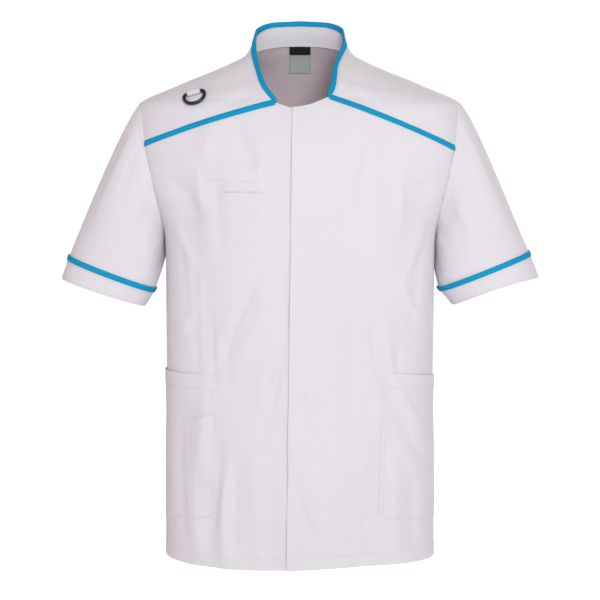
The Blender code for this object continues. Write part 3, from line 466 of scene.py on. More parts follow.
def bare_ring(shares, height):
    """The level section at one height without folds, as distances from the centre and reaches."""
    half_width, front, back, square_front, square_back = section_at(np.array([height]))
    front_girths = ring_girths(half_width, front, square_front)[0]
    back_girths = ring_girths(half_width, back, square_back)[0]
    behind = shares > 1
    back_angle = np.interp(2 - shares, back_girths, QUARTER_TURN)
    angle = np.where(behind, back_angle, np.interp(shares, front_girths, QUARTER_TURN))
    power = 2 / np.where(behind, square_back[0], square_front[0])
    reach = np.where(behind, back[0], -front[0])
    return half_width[0] * np.sin(angle) ** power, reach * np.abs(np.cos(angle)) ** power


def share_where(height, wanted, axis):
    """The share at which the body has this distance from the centre (axis 0) or reach (axis 1)."""
    height, wanted = np.broadcast_arrays(np.asarray(height, float), np.asarray(wanted, float))
    shares = np.linspace(0, 1 + axis, SHARE_STEPS)
    found = []
    for h, w in zip(height.ravel(), wanted.ravel()):
        share = np.interp(w if axis else abs(w), bare_ring(shares, h)[axis], shares)
        found.append(share if axis else math.copysign(share, w))
    return np.array(found).reshape(height.shape)


def armhole_seam(angles, which):
    """Armhole from the shoulder tip (angle 0) down to the underarm (half a turn)."""
    half = (SHOULDER_TIP_HEIGHT - UNDERARM_HEIGHT) / 2
    height = ARMHOLE_MIDDLE + half * np.cos(angles)
    low = (1 - np.cos(angles)) / 2
    scoop = np.sin(angles - ARMHOLE_SCOOP * np.sin(angles))
    tip_reach = bare_ring(np.array([SHOULDER_SEAM_SHARE]), SHOULDER_TIP_HEIGHT)[1][0]
    reach = tip_reach + (SIDE_SEAM_REACH - tip_reach) * low + ARMHOLE_REACH[which] * scoop
    return np.stack([share_where(height, reach, 1), height], axis=-1)


def yoke_end_angle(half):
    """The armhole angle at which the yoke seam ends."""
    return math.acos((half.yoke_end - ARMHOLE_MIDDLE) / (SHOULDER_TIP_HEIGHT - ARMHOLE_MIDDLE))


def armhole_front(half, lower_steps, upper_steps):
    """Front armhole, underarm to yoke seam and yoke seam to shoulder tip."""
    end = yoke_end_angle(half)
    lower = armhole_seam(np.linspace(math.pi, end, lower_steps + 1), "front")
    upper = armhole_seam(np.linspace(end, 0, upper_steps + 1), "front")
    return lower, upper


def hem_height(x):
    """Height of the hem, by distance towards the wearer's left."""
    return HEM_HEIGHT + smooth_through([row.x for row in HEM_LINE], [row.rise for row in HEM_LINE], x)


def side_seam(half):
    """Side seam, hem to underarm."""
    hem = hem_height(HEM_LINE[-1].x * half.side)
    height = np.linspace(hem, UNDERARM_HEIGHT, SIDE_ROWS + 1)
    return np.stack([share_where(height, SIDE_SEAM_REACH, 1), height], axis=-1)


def yoke_seam(half):
    """Front yoke seam, junction to armhole."""
    (x0, z0), lower = half.junction, armhole_front(half, 2, 2)[0]
    end_x = bare_ring(lower[-1:, 0], lower[-1, 1])[0][0]
    t = np.linspace(0, 1, YOKE_COLUMNS + 1)
    x = x0 + (end_x - x0) * t
    z = z0 + (half.yoke_end - z0) * t + YOKE_SEAM_BOW * np.sin(math.pi * t)
    seam = np.stack([share_where(z, x, 0), z], axis=-1)
    seam[-1] = lower[-1]
    return seam


def stepped(start, end, count):
    """Even steps from one (share, height) to another."""
    t = np.linspace(0, 1, count + 1)[:, None]
    return np.asarray(start) * (1 - t) + np.asarray(end) * t


def between(bottom, top, left, right):
    """Places inside a panel, spread between its four edges."""
    u = np.linspace(0, 1, len(bottom))[None, :, None]
    v = np.linspace(0, 1, len(left))[:, None, None]
    edges = bottom[None] * (1 - v) + top[None] * v + left[:, None] * (1 - u) + right[:, None] * u
    corners = (
        bottom[0] * (1 - u) * (1 - v) + bottom[-1] * u * (1 - v)
        + top[0] * (1 - u) * v + top[-1] * u * v
    )
    return edges - corners


def shorter(points, left=0.0, right=0.0, bottom=0.0, top=0.0):
    """A panel's points with an edge moved in by that many millimetres."""
    moved = points.copy()
    for index, step, gap in ((0, 1, left), (-1, -2, right)):
        moved[:, index] += unit(points[:, step] - points[:, index]) * gap
    for index, step, gap in ((0, 1, bottom), (-1, -2, top)):
        moved[index] += unit(points[step] - points[index]) * gap
    return moved


def grid_out(panel):
    """Outward direction at each point of a panel's grid."""
    return unit(np.cross(np.gradient(panel, axis=1), np.gradient(panel, axis=0)))


def away_from(panel, lines):
    """Distance of each of a panel's points from the nearest of some lines."""
    dense = []
    for line in lines:
        run = run_along(line)
        even = np.linspace(0, run[-1], max(2, int(run[-1] / 0.6)))
        dense.append(np.stack([np.interp(even, run, line[:, i]) for i in range(3)], axis=-1))
    dense = np.concatenate(dense)
    near = KDTree(len(dense))
    for i, point in enumerate(dense):
        near.insert(point, i)
    near.balance()
    flat = panel.reshape(-1, 3)
    return np.array([near.find(point)[2] for point in flat]).reshape(panel.shape[:2])


def puckered(points, away, reach=16.0, height=0.30):
    """The small pulls beside a stitched line, as a height at each point."""
    x, y, z = (points[..., i] for i in range(3))
    waves = np.sin(x / 2.9 + y / 3.7 + z / 3.1) + 0.7 * np.sin(x / 5.3 - z / 4.1 + y / 6.0 + 1.3)
    return height * waves * np.exp(-((away / reach) ** 2)) * 0.6


def seam_form(away, stitch, layers=0.45):
    """Height of the cloth beside a topstitched seam: rolled in, doubled, and pulled down again."""
    roll = -0.75 * np.exp(-((away / 1.6) ** 2))
    doubled = layers * (1 - ease(away, stitch - 0.6, stitch + 2.4))
    groove = -0.30 * np.exp(-(((away - stitch) / 1.7) ** 2))
    return roll + doubled + groove


def seam_dent(away):
    """How deep the cloth is drawn in at a plain seam."""
    return SEAM_DENT * np.exp(-((away / SEAM_DENT_REACH) ** 2))


def edged(lift, points, arm, hem, seams):
    """A panel's lift, with its armhole, its doubled hem and its other seams worked in."""
    lift = lift + seam_form(arm, ARMHOLE_STITCH) + puckered(points, arm)
    lift = lift + HEM_DOUBLED * (1 - ease(hem, HEM_STITCH, HEM_STITCH + HEM_FALL))
    lift = lift + puckered(points, hem - HEM_STITCH, HEM_PUCKER_REACH)
    return lift - seam_dent(seams)


def stitched(*away):
    """Distances from up to three stitched lines, side by side; a missing line is far off."""
    far = np.full(away[0].shape, FAR)
    return np.stack([*away, far, far][:3], axis=-1)


def cloth(name, points, finish, wall=WALL, side=1, closed=False, outwards=False, stitching=None,
          inside_shade=None):
    """A cloth piece from rows of points on its outer face, grown inwards to its wall.

    Its UV map holds metres along and up the cloth. The attribute stitching holds how far, in
    millimetres, each point lies from up to three stitched lines. The last argument, where given,
    is the inner face's finish: a darker, pinker copy of the outer one, painted shade for the dim inside.
    """
    rows, columns = points.shape[0] - 1, points.shape[1] - 1
    if stitching is None:
        stitching = np.full(points.shape, FAR)
    across = np.cumsum(np.linalg.norm(np.diff(points, axis=1, prepend=points[:, :1]), axis=-1), axis=1)
    across = across - across[:, columns // 2][:, None]
    up = np.cumsum(np.linalg.norm(np.diff(points, axis=0, prepend=points[:1]), axis=-1), axis=0)
    shape = bmesh.new()
    bmesh.ops.create_grid(shape, x_segments=columns, y_segments=rows, size=0.5)
    mesh = bpy.data.meshes.new(name)
    shape.to_mesh(mesh)
    shape.free()
    flat = np.zeros(len(mesh.vertices) * 3, np.float32)
    mesh.vertices.foreach_get("co", flat)
    flat = flat.reshape(-1, 3)
    column = np.rint((flat[:, 0] + 0.5) * columns).astype(int)
    row = np.rint((flat[:, 1] + 0.5) * rows).astype(int)
    if side < 0:
        column = columns - column
    mesh.vertices.foreach_set("co", (points[row, column] * MM).astype(np.float32).ravel())
    lines = mesh.attributes.new("stitching", "FLOAT_VECTOR", "POINT")
    lines.data.foreach_set("vector", stitching[row, column].astype(np.float32).ravel())
    corners = np.zeros(len(mesh.loops), np.int32)
    mesh.loops.foreach_get("vertex_index", corners)
    spread_out = np.stack([across[row, column], up[row, column]], axis=-1)[corners] * MM
    unrolled = mesh.uv_layers.new(name="cloth")
    unrolled.data.foreach_set("uv", spread_out.astype(np.float32).ravel())
    mesh.shade_smooth()
    shape = bmesh.new()
    shape.from_mesh(mesh)
    if closed:
        bmesh.ops.remove_doubles(shape, verts=shape.verts, dist=1e-6)
    for edge in shape.edges:
        edge.smooth = not edge.is_boundary
    shape.to_mesh(mesh)
    shape.free()
    piece = bpy.data.objects.new(name, mesh)
    scene.collection.objects.link(piece)
    mesh.materials.append(finish)
    thick = piece.modifiers.new("wall", "SOLIDIFY")
    thick.thickness = wall * MM
    thick.offset = 1 if outwards else -1
    thick.use_even_offset = outwards
    # The inner face takes the darker finish where one is given: painted shade for the inside.
    if inside_shade:
        mesh.materials.append(inside_shade)
        thick.material_offset = 1
    return piece


def sewn(piece, node, body_name="tunic"):
    """Hides the imported part that a piece stands for and hangs the piece on the body it moves with."""
    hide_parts(node)
    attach(piece, body_name)
    return piece


def add_node(tree, kind, operation=None, **sockets):
    """A new node in a shader's tree, with its operation and plain values for its sockets."""
    made = tree.nodes.new("ShaderNode" + kind)
    if operation:
        made.operation = operation
    set_sockets(made, sockets)
    return made


def float_socket(group, name, direction):
    """A number that goes into a shader group or comes out of it."""
    return group.interface.new_socket(name, in_out=direction, socket_type="NodeSocketFloat")


def stitch_group():
    """Shader group: a mask of the grooves that three stitched lines pull into cloth, for their relief and
    their painted shade.
    """
    group = bpy.data.node_groups.new("stitched_lines", "ShaderNodeTree")
    float_socket(group, "Width", "INPUT").default_value = 0.8
    float_socket(group, "Groove", "OUTPUT")
    nodes, links = group.nodes, group.links
    start, end = nodes.new("NodeGroupInput"), nodes.new("NodeGroupOutput")
    lines = add_node(group, "Attribute")
    lines.attribute_name = "stitching"
    apart = add_node(group, "SeparateXYZ")
    links.new(lines.outputs["Vector"], apart.inputs[0])
    nearest = None
    for axis in range(3):
        size = add_node(group, "Math", "ABSOLUTE")
        links.new(apart.outputs[axis], size.inputs[0])
        if nearest is None:
            nearest = size
            continue
        least = add_node(group, "Math", "MINIMUM")
        links.new(nearest.outputs[0], least.inputs[0])
        links.new(size.outputs[0], least.inputs[1])
        nearest = least
    share = add_node(group, "Math", "DIVIDE")
    links.new(nearest.outputs[0], share.inputs[0])
    links.new(start.outputs["Width"], share.inputs[1])
    fall = add_node(group, "MapRange", from_min=1.0, from_max=0.0)
    fall.interpolation_type = "SMOOTHSTEP"
    links.new(share.outputs[0], fall.inputs["Value"])
    links.new(fall.outputs[0], end.inputs["Groove"])
    return group


def weave_group():
    """Shader group: the threads of a plain weave and its slubs, from the piece's own UV map."""
    group = bpy.data.node_groups.new("woven_threads", "ShaderNodeTree")
    float_socket(group, "Threads", "INPUT").default_value = 2200
    float_socket(group, "Height", "OUTPUT")
    float_socket(group, "Slub", "OUTPUT")
    nodes, links = group.nodes, group.links
    start, end = nodes.new("NodeGroupInput"), nodes.new("NodeGroupOutput")
    place = add_node(group, "UVMap")
    place.uv_map = "cloth"
    waves = []
    for direction in ("X", "Y"):
        wave = add_node(group, "TexWave", distortion=0.6, detail=1.0)
        wave.bands_direction = direction
        links.new(place.outputs[0], wave.inputs["Vector"])
        links.new(start.outputs["Threads"], wave.inputs["Scale"])
        waves.append(wave)
    over = add_node(group, "Math", "MAXIMUM")
    links.new(waves[0].outputs["Fac"], over.inputs[0])
    links.new(waves[1].outputs["Fac"], over.inputs[1])
    stretch = add_node(group, "Mapping", scale=(700.0, 90.0, 1.0))
    links.new(place.outputs[0], stretch.inputs["Vector"])
    slub = add_node(group, "TexNoise", scale=1.0, detail=3.0)
    links.new(stretch.outputs[0], slub.inputs["Vector"])
    links.new(over.outputs[0], end.inputs["Height"])
    links.new(slub.outputs["Fac"], end.inputs["Slub"])
    return group


STITCHED_LINES = stitch_group()
WOVEN_THREADS = weave_group()
STITCH_HALF_WIDTH = 1.1
# The last of these is how far the colour turns dark along stitched grooves: painted shade.
SLUB_TONE, WORN_TONE, GROOVE_PAINTED_SHADE = 0.35, 0.45, 0.50


def woven(name, light, dark, roughness, threads, relief, sheen):
    """A woven cloth between two near tones, with threads, slubs, slack, and stitched grooves whose shade is
    painted into the colour.
    """
    made, shader = principled(name, light, roughness, sheen_weight=sheen, sheen_roughness=0.5)
    tree, links = made.node_tree, made.node_tree.links
    shader.inputs["Specular IOR Level"].default_value = 0.15
    weave = add_node(tree, "Group")
    weave.node_tree = WOVEN_THREADS
    weave.inputs["Threads"].default_value = threads
    sewn_lines = add_node(tree, "Group")
    sewn_lines.node_tree = STITCHED_LINES
    sewn_lines.inputs["Width"].default_value = STITCH_HALF_WIDTH
    place = add_node(tree, "TexCoord")
    soft = add_node(tree, "TexNoise", scale=34.0, detail=3.0, roughness=0.45)
    links.new(place.outputs["Object"], soft.inputs["Vector"])
    worn = add_node(tree, "TexNoise", scale=6.0, detail=2.0)
    links.new(place.outputs["Object"], worn.inputs["Vector"])
    tone = add_node(tree, "MixRGB", color1=(*light, 1.0), color2=(*dark, 1.0))
    amount = add_node(tree, "Math", "MULTIPLY_ADD")
    amount.inputs[1].default_value = SLUB_TONE
    links.new(weave.outputs["Slub"], amount.inputs[0])
    shade = add_node(tree, "Math", "MULTIPLY")
    shade.inputs[1].default_value = WORN_TONE
    links.new(worn.outputs["Fac"], shade.inputs[0])
    links.new(shade.outputs[0], amount.inputs[2])
    # Painted shade: the colour turns towards the dark tone along the stitched grooves.
    darker = add_node(tree, "Math", "MULTIPLY_ADD")
    darker.inputs[1].default_value = GROOVE_PAINTED_SHADE
    links.new(sewn_lines.outputs["Groove"], darker.inputs[0])
    links.new(amount.outputs[0], darker.inputs[2])
    links.new(darker.outputs[0], tone.inputs["Fac"])
    links.new(tone.outputs[0], shader.inputs["Base Color"])
    slack_bump = add_node(tree, "Bump", strength=0.35, distance=0.0012)
    links.new(soft.outputs["Fac"], slack_bump.inputs["Height"])
    groove = add_node(tree, "Bump", strength=0.9, distance=0.0003)
    groove.invert = True
    links.new(sewn_lines.outputs["Groove"], groove.inputs["Height"])
    links.new(slack_bump.outputs[0], groove.inputs["Normal"])
    thread = add_node(tree, "Bump", strength=relief, distance=0.00012)
    links.new(weave.outputs["Height"], thread.inputs["Height"])
    links.new(groove.outputs[0], thread.inputs["Normal"])
    links.new(thread.outputs[0], shader.inputs["Normal"])
    return made


WHITE = woven("white_cloth", (0.80, 0.755, 0.79), (0.74, 0.69, 0.73), 0.82, 2200, 0.5, 0.25)
# The inner faces of the fronts and back: the same cloth darker and pinker, painted shade for the dim inside
# of the garment.
SHADED_INSIDE_FINISH = woven("white_cloth_inside_painted_shade", (0.68, 0.55, 0.60), (0.62, 0.49, 0.54), 0.86, 2200, 0.5, 0.25)


def lap_lift(half, points):
    """How far a front is lifted where it lies over the other front."""
    return half.lap_lift * (1 - ease(points[..., 0] * half.side, LAP_FLAT_TO, LAP_FADE_TO))


def dip_line(half):
    """The front neckline from the lap's edge to the junction, in the lap's columns."""
    known = np.array([*half.dip, half.junction])
    x = np.concatenate([
        np.linspace(known[i, 0], known[i + 1, 0], count + 1)[(1 if i else 0):]
        for i, count in enumerate(LAP_COLUMNS)
    ])
    z = smooth_through(known[:, 0], known[:, 1], x)
    return np.stack([share_where(z, x, 0), z], axis=-1)


def front_places(half):
    """Front panel: free edge to side seam and armhole, hem to neckline and yoke seam."""
    right = np.concatenate([side_seam(half), armhole_front(half, ARM_LOWER_STEPS, 2)[0][1:]])
    top = np.concatenate([dip_line(half), yoke_seam(half)[1:]])
    hem = hem_height(half.lap_hem * half.side)
    heights = np.concatenate([
        np.linspace(hem, UNDERARM_HEIGHT, SIDE_ROWS + 1),
        np.linspace(UNDERARM_HEIGHT, half.dip[0][1], ARM_LOWER_STEPS + 1)[1:],
    ])
    edge_x = np.interp(heights, [hem, half.dip[0][1]], [half.lap_hem, half.lap_top])
    left = np.stack([share_where(heights, edge_x, 0), heights], axis=-1)
    lap = np.stack([share_where(np.full(2, hem), LAP_HEM_X, 0), np.full(2, hem)], axis=-1)
    side_start = lap[1] + (right[0] - lap[1]) / 12
    bottom = np.concatenate([
        stepped(left[0], lap[0], LAP_COLUMNS[0])[:-1],
        stepped(lap[0], lap[1], LAP_COLUMNS[1])[:-1],
        stepped(lap[1], side_start, LAP_COLUMNS[2])[:-1],
        stepped(side_start, right[0], YOKE_COLUMNS),
    ])
    places = between(bottom, top, left, right)
    x = body(half.side, places[0, :, 0], np.full(len(top), HEM_HEIGHT))[:, 0]
    sag = hem_height(x) - places[0, :, 1]
    places[..., 1] += sag * np.linspace(1, 0, len(left))[:, None]
    return places


def front_panel(half):
    """Points of a front's outer face, and how far they lie from its stitched lines."""
    places = front_places(half)
    share, height = places[..., 0], places[..., 1]
    points = body(half.side, share, height)
    out = grid_out(points) * half.side
    arm = away_from(points, [points[SIDE_ROWS:, -1]])
    hem = away_from(points, [points[0]])
    lap = away_from(points, [points[:, 0]])
    seams = away_from(points, [points[:, -1], points[-1, sum(LAP_COLUMNS):]])
    lift = edged(lap_lift(half, points), points, arm, hem, seams)
    placket = 1 - ease(lap, PLACKET_STITCH - 3, PLACKET_STITCH + 5)
    lift = lift + PLACKET_DOUBLED * placket * ease(hem, 2, 12)
    waves = 1.1 + 0.7 * np.sin(height / 31.0 + 1.2) + 0.4 * np.sin(height / 13.0)
    lift = lift + (waves * (1 - ease(lap, 0, LAP_WAVE_REACH)) if half.lap_lift > 0 else 0.0)
    points = points + out * lift[..., None]
    stitching = stitched(arm - ARMHOLE_STITCH, hem - HEM_STITCH)
    return shorter(points, right=SEAM_GAP / 2, top=SEAM_GAP / 2), stitching


FRONTS = {}
for half in HALVES:
    panel, lines = front_panel(half)
    FRONTS[half.name] = panel
    front = cloth("front_" + half.name + "_cloth", panel, WHITE, side=half.side, stitching=lines,
                  inside_shade=SHADED_INSIDE_FINISH)
    sewn(front, "front_" + half.name)


# The shoulder yokes. One layer of the same poplin on each shoulder, from the yoke seam up to
# the shoulder seam, sewn to the collar and the sleeve.

ARM_UPPER_STEPS = 44
SHOULDER_STITCH = 5.0
NECK_FRONT = [(60.0, -57.0), (77.5, -34.0), (84.0, -12.0)]
NECK_SIDE_HEIGHT = 0.5


def neck_front(half, steps):
    """Neckline from the junction to the shoulder seam, in even steps along the cloth."""
    side_x = bare_ring(np.array([SHOULDER_SEAM_SHARE]), NECK_SIDE_HEIGHT)[0][0]
    points = np.array([half.junction, *NECK_FRONT, (side_x, NECK_SIDE_HEIGHT)])
    run = run_along(points)
    at = np.linspace(0, run[-1], 160)
    x, z = (smooth_through(run, column, at) for column in points.T)
    share = share_where(z, x, 0)
    share[-1] = SHOULDER_SEAM_SHARE
    run = run_along(body(1, share, z))
    even = np.linspace(0, run[-1], steps + 1)
    return np.stack([np.interp(even, run, share), np.interp(even, run, z)], axis=-1)


def shoulder_seam(steps):
    """Shoulder seam, neck to tip."""
    height = np.linspace(NECK_SIDE_HEIGHT, SHOULDER_TIP_HEIGHT, steps + 1)
    return np.stack([np.full_like(height, SHOULDER_SEAM_SHARE), height], axis=-1)


for half in HALVES:
    places = between(
        yoke_seam(half), shoulder_seam(YOKE_COLUMNS),
        neck_front(half, ARM_UPPER_STEPS), armhole_front(half, 2, ARM_UPPER_STEPS)[1],
    )
    panel = body(half.side, places[..., 0], places[..., 1])
    out = grid_out(panel) * half.side
    arm = away_from(panel, [panel[:, -1]])
    shoulder = away_from(panel, [panel[-1]])
    seams = away_from(panel, [panel[0], panel[:, 0]])
    lift = seam_form(arm, ARMHOLE_STITCH) + puckered(panel, arm)
    lift = lift + seam_form(shoulder, SHOULDER_STITCH, 0.3) - seam_dent(seams)
    panel = shorter(panel + out * lift[..., None], bottom=SEAM_GAP / 2, top=SEAM_GAP / 2)
    lines = stitched(arm - ARMHOLE_STITCH, shoulder - SHOULDER_STITCH)
    yoke = cloth("yoke_" + half.name + "_cloth", panel, WHITE, side=half.side, stitching=lines)
    sewn(yoke, "yoke_" + half.name)


# The back. One piece of poplin from side seam to side seam, up over the shoulder blades to the
# shoulder seams and the back of the neck.

ARM_BACK_STEPS = 50
SHOULDER_ROWS = 30
BACK_COLUMNS = 78
BACK_LEVEL_WITH_TIP = -62.0
SHOULDER_BACK_STITCH = 2.5


def armhole_back(steps):
    """Back armhole, underarm to shoulder tip."""
    return armhole_seam(np.linspace(math.pi, 0, steps + 1), "back")


def neck_back(steps):
    """Neckline from the shoulder seam to the centre back."""
    t = np.linspace(0, 1, steps + 1)
    share = SHOULDER_SEAM_SHARE + (2 - SHOULDER_SEAM_SHARE) * t
    height = NECK_SIDE_HEIGHT + (NAPE_HEIGHT - NECK_SIDE_HEIGHT) * np.sin(t * math.pi / 2)
    return np.stack([share, height], axis=-1)


def back_places(half):
    """Half of the back: side seam, armhole and shoulder seam on one edge, neckline on top."""
    outer = np.concatenate([
        side_seam(half), armhole_back(ARM_BACK_STEPS)[1:], shoulder_seam(SHOULDER_ROWS)[::-1][1:],
    ])
    heights = np.concatenate([
        np.linspace(hem_height(0), UNDERARM_HEIGHT, SIDE_ROWS + 1),
        np.linspace(UNDERARM_HEIGHT, BACK_LEVEL_WITH_TIP, ARM_BACK_STEPS + 1)[1:],
        np.linspace(BACK_LEVEL_WITH_TIP, NAPE_HEIGHT, SHOULDER_ROWS + 1)[1:],
    ])
    middle = np.stack([np.full_like(heights, 2.0), heights], axis=-1)
    bottom = stepped(outer[0], middle[0], BACK_COLUMNS)
    return between(bottom, neck_back(BACK_COLUMNS), outer, middle)


back_halves = []
for half in HALVES:
    places = back_places(half)
    back_halves.append(body(half.side, places[..., 0], places[..., 1]))
panel = np.concatenate([back_halves[1], back_halves[0][:, -2::-1]], axis=1)
out = grid_out(panel)
arm_rows = slice(SIDE_ROWS, SIDE_ROWS + ARM_BACK_STEPS + 1)
arm = away_from(panel, [panel[arm_rows, 0], panel[arm_rows, -1]])
hem = away_from(panel, [panel[0]])
shoulder = away_from(panel, [panel[arm_rows.stop:, 0], panel[arm_rows.stop:, -1]])
seams = away_from(panel, [panel[:, 0], panel[:, -1], panel[-1]])
lift = edged(0.0, panel, arm, hem, seams)
lines = stitched(arm - ARMHOLE_STITCH, hem - HEM_STITCH, shoulder - SHOULDER_BACK_STITCH)
panel = shorter(panel + out * lift[..., None], left=SEAM_GAP / 2, right=SEAM_GAP / 2)
back = cloth("back_cloth", panel, WHITE, stitching=lines, inside_shade=SHADED_INSIDE_FINISH)
sewn(back, "back")


# The sleeves. Short set-in sleeves, one poplin piece each, eased into the armhole at the cap and
# gathered slightly there; the seam is turned towards the body.

SLEEVE_ROWS = 78
SLEEVE_TOP_STEPS = 34
SLEEVE_UNDER_STEPS = 36
SLEEVE_BACK_STEPS = 70
SLEEVE_LEAVES = {
    "top": (0.80, 0.0, -0.60), "front": (0.66, -0.45, -0.60),
    "under": (0.04, 0.0, -1.0), "back": (0.66, 0.45, -0.60),
}
SLEEVE_LEAVE_PULL = {"top": 75.0, "side": 110.0, "under": 75.0}
SLEEVE_ARRIVES = (0.40, 0.0, -0.92)
SLEEVE_ARRIVE_PULL = {"top": 250.0, "side": 150.0, "under": 75.0}
SLEEVE_GIRTH, SLEEVE_LENGTH = 430.0, 255.0
SLEEVE_SEAM_DEPTH = 0.55
GATHER_DEPTH, GATHERS, GATHER_REACH = 0.45, 34, 16

# A cuff seam or hem: an oval seen from the front by its outer and inner corner.
Oval = namedtuple("Oval", "outer inner half_depth forward front_drop")
CUFF_SEAM = {
    "right": Oval((354.0, -305.8), (223.0, -355.5), 56.0, -12.0, -0.5),
    "left": Oval((351.0, -299.5), (213.5, -354.5), 58.0, -12.0, -1.5),
}

# Creases by distance round the sleeve (from its top over the front) and down it.
SLEEVE_CREASES = [Crease(*row) for row in [
    (30, 20, 46, 200, 14, 2.1, 6, 0.7),
    (62, 12, 92, 150, 12, -1.8, -5, 0.8),
    (118, 30, 104, 215, 13, 2.0, 7, 0.6),
    (150, 20, 128, 190, 11, -2.0, -6, 0.8),
    (182, 30, 150, 170, 9, 1.7, 5, 0.7),
    (205, 60, 170, 240, 10, -1.5, 5, 0.8),
    (252, 40, 292, 210, 11, 2.0, -6, 0.6),
    (286, 18, 310, 190, 12, -2.0, 6, 0.8),
    (330, 20, 336, 215, 14, 2.0, -6, 0.7),
    (372, 14, 366, 170, 12, -1.5, 5, 0.8),
    (404, 20, 410, 220, 13, 1.4, 4, 0.7),
    (84, 190, 130, 252, 9, 1.2, 3, 0.7),
    (196, 180, 150, 246, 8, 1.4, -3, 0.7),
    (300, 200, 262, 250, 9, -1.2, 3, 0.7),
]]


def mirrored(points, side):
    """Points of the wearer's left half, moved to the half that side names, or back again."""
    return points * np.array([side, 1, 1])


def sleeve_turns(half):
    """Armhole places all round: shoulder tip, front, underarm, back and shoulder tip."""
    lower, upper = armhole_front(half, SLEEVE_UNDER_STEPS, SLEEVE_TOP_STEPS)
    front = np.concatenate([upper[::-1], lower[::-1][1:]])
    return np.concatenate([front, armhole_back(SLEEVE_BACK_STEPS)[1:]])


def sleeve_angles(points, under):
    """How far round the sleeve each armhole point lies, by its run from the shoulder tip."""
    run = run_along(points)
    front = run[: under + 1] / run[under] * math.pi
    back = math.pi + (run[under + 1:] - run[under]) / (run[-1] - run[under]) * math.pi
    return np.concatenate([front, back])


def oval(shape, angles):
    """Points round an oval, from its outer corner over the front to the inner corner and back."""
    outer, inner = np.array(shape.outer), np.array(shape.inner)
    centre, reach = (outer + inner) / 2, (outer - inner) / 2
    flat = centre + np.cos(angles)[:, None] * reach
    front = np.sin(angles)
    y = shape.forward - shape.half_depth * front
    z = flat[:, 1] - shape.front_drop * np.maximum(front, 0) ** 2
    return np.stack([flat[:, 0], y, z], axis=-1)


def round_blend(angles, top, front, under, back):
    """A value that goes smoothly from top to front, under, back and to the top again."""
    c, s = np.cos(angles), np.sin(angles)
    weights = [np.maximum(v, 0) ** 2 for v in (c, s, -c, -s)]
    values = [np.atleast_1d(np.asarray(v, float)) for v in (top, front, under, back)]
    return sum(w[:, None] * v[None] for w, v in zip(weights, values))


def sleeve_lines(half):
    """The start, leaving pull, end and arriving pull of each line down the sleeve."""
    places = sleeve_turns(half)
    start = body(1, places[:, 0], places[:, 1])
    out = body_out(1, places[:, 0], places[:, 1])
    angles = sleeve_angles(start, SLEEVE_TOP_STEPS + SLEEVE_UNDER_STEPS)
    leave = unit(round_blend(angles, *(SLEEVE_LEAVES[k] for k in ("top", "front", "under", "back"))))
    pull = SLEEVE_LEAVE_PULL
    leave_pull = round_blend(angles, pull["top"], pull["side"], pull["under"], pull["side"])
    pull = SLEEVE_ARRIVE_PULL
    arrive_pull = round_blend(angles, pull["top"], pull["side"], pull["under"], pull["side"])
    start = start - out * SLEEVE_SEAM_DEPTH + leave * SEAM_GAP
    start[-1] = start[0]
    arrive = unit(np.array(SLEEVE_ARRIVES)) * arrive_pull
    return angles, start, leave * leave_pull, oval(CUFF_SEAM[half.name], angles), arrive


def down_sleeve(lines, t):
    """Points at the share t of the way down the sleeve."""
    _, start, leave, end, arrive = lines
    return (
        start * (1 + 2 * t) * (1 - t) ** 2 + end * t * t * (3 - 2 * t)
        + leave * t * (1 - t) ** 2 - arrive * t * t * (1 - t)
    )


def ring_out(tube):
    """Outward direction at each point of a tube whose first and last column are one line."""
    wrapped = np.concatenate([tube[:, -2:-1], tube, tube[:, 1:2]], axis=1)
    return grid_out(wrapped)[:, 1:-1]


for half in HALVES:
    down_lines = sleeve_lines(half)
    angles = down_lines[0]
    shares = np.linspace(0, 1, SLEEVE_ROWS + 1) ** 1.12
    tube = np.stack([down_sleeve(down_lines, t) for t in shares])
    out = ring_out(tube)
    around = np.broadcast_to(angles / (2 * math.pi) * SLEEVE_GIRTH, tube.shape[:2])
    down = np.broadcast_to((shares * SLEEVE_LENGTH)[:, None], tube.shape[:2])
    creases = sum(crease_depth(around + turn * SLEEVE_GIRTH, down, SLEEVE_CREASES) for turn in (0, -1, 1))
    ends = ease(down, 0, 30) * (1 - 0.8 * ease(down, SLEEVE_LENGTH - 26, SLEEVE_LENGTH))
    sway = 0.5 * np.sin(2 * angles[None] + down / 60 + half.side)
    sway = sway + 0.3 * np.sin(5 * angles[None] - down / 45)
    cap = np.maximum(np.cos(angles), 0)[None] ** 0.5
    gathers = GATHER_DEPTH * np.sin(angles[None] * GATHERS + half.side) * cap
    gathers = gathers * np.exp(-((down / GATHER_REACH) ** 2)) * ease(down, 0, 4)
    swell = 0.9 * np.exp(-(((down - 7) / 7) ** 2)) * (0.35 + 0.65 * cap)
    lift = (creases + sway) * ends + gathers + swell
    tube = shorter(tube + out * lift[..., None], top=SEAM_GAP)
    sleeve = cloth("sleeve_" + half.name + "_cloth", mirrored(tube, half.side), WHITE,
                   side=half.side, closed=True)
    sewn(sleeve, "sleeve_" + half.name)


# The cuffs. A straight band turned up at the end of each sleeve, its seam covered by a flat
# blue tape that is stitched down along both edges.

TRIM_WIDTH = 7.4
CUFF_TAPE_WIDTH = 8.4
TRIM_WALL = 0.7
TAPE_ACROSS = np.linspace(0, 1, 7)
TAPE_STITCH = 0.9
CUFF_ROWS = 16
CUFF_DEPTH = 30
CUFF_STITCH = 3.0
CUFF_TAPE_LIFT = 1.05
CUFF_HEM = {
    "right": Oval((364.5, -338.0), (237.7, -380.0), 56.5, -14.0, -0.5),
    "left": Oval((365.5, -336.0), (233.5, -378.5), 57.0, -14.0, -6.5),
}
BLUE = woven("blue_tape", (0.002, 0.34, 0.60), (0.001, 0.29, 0.54), 0.68, 1500, 0.6, 0.0)


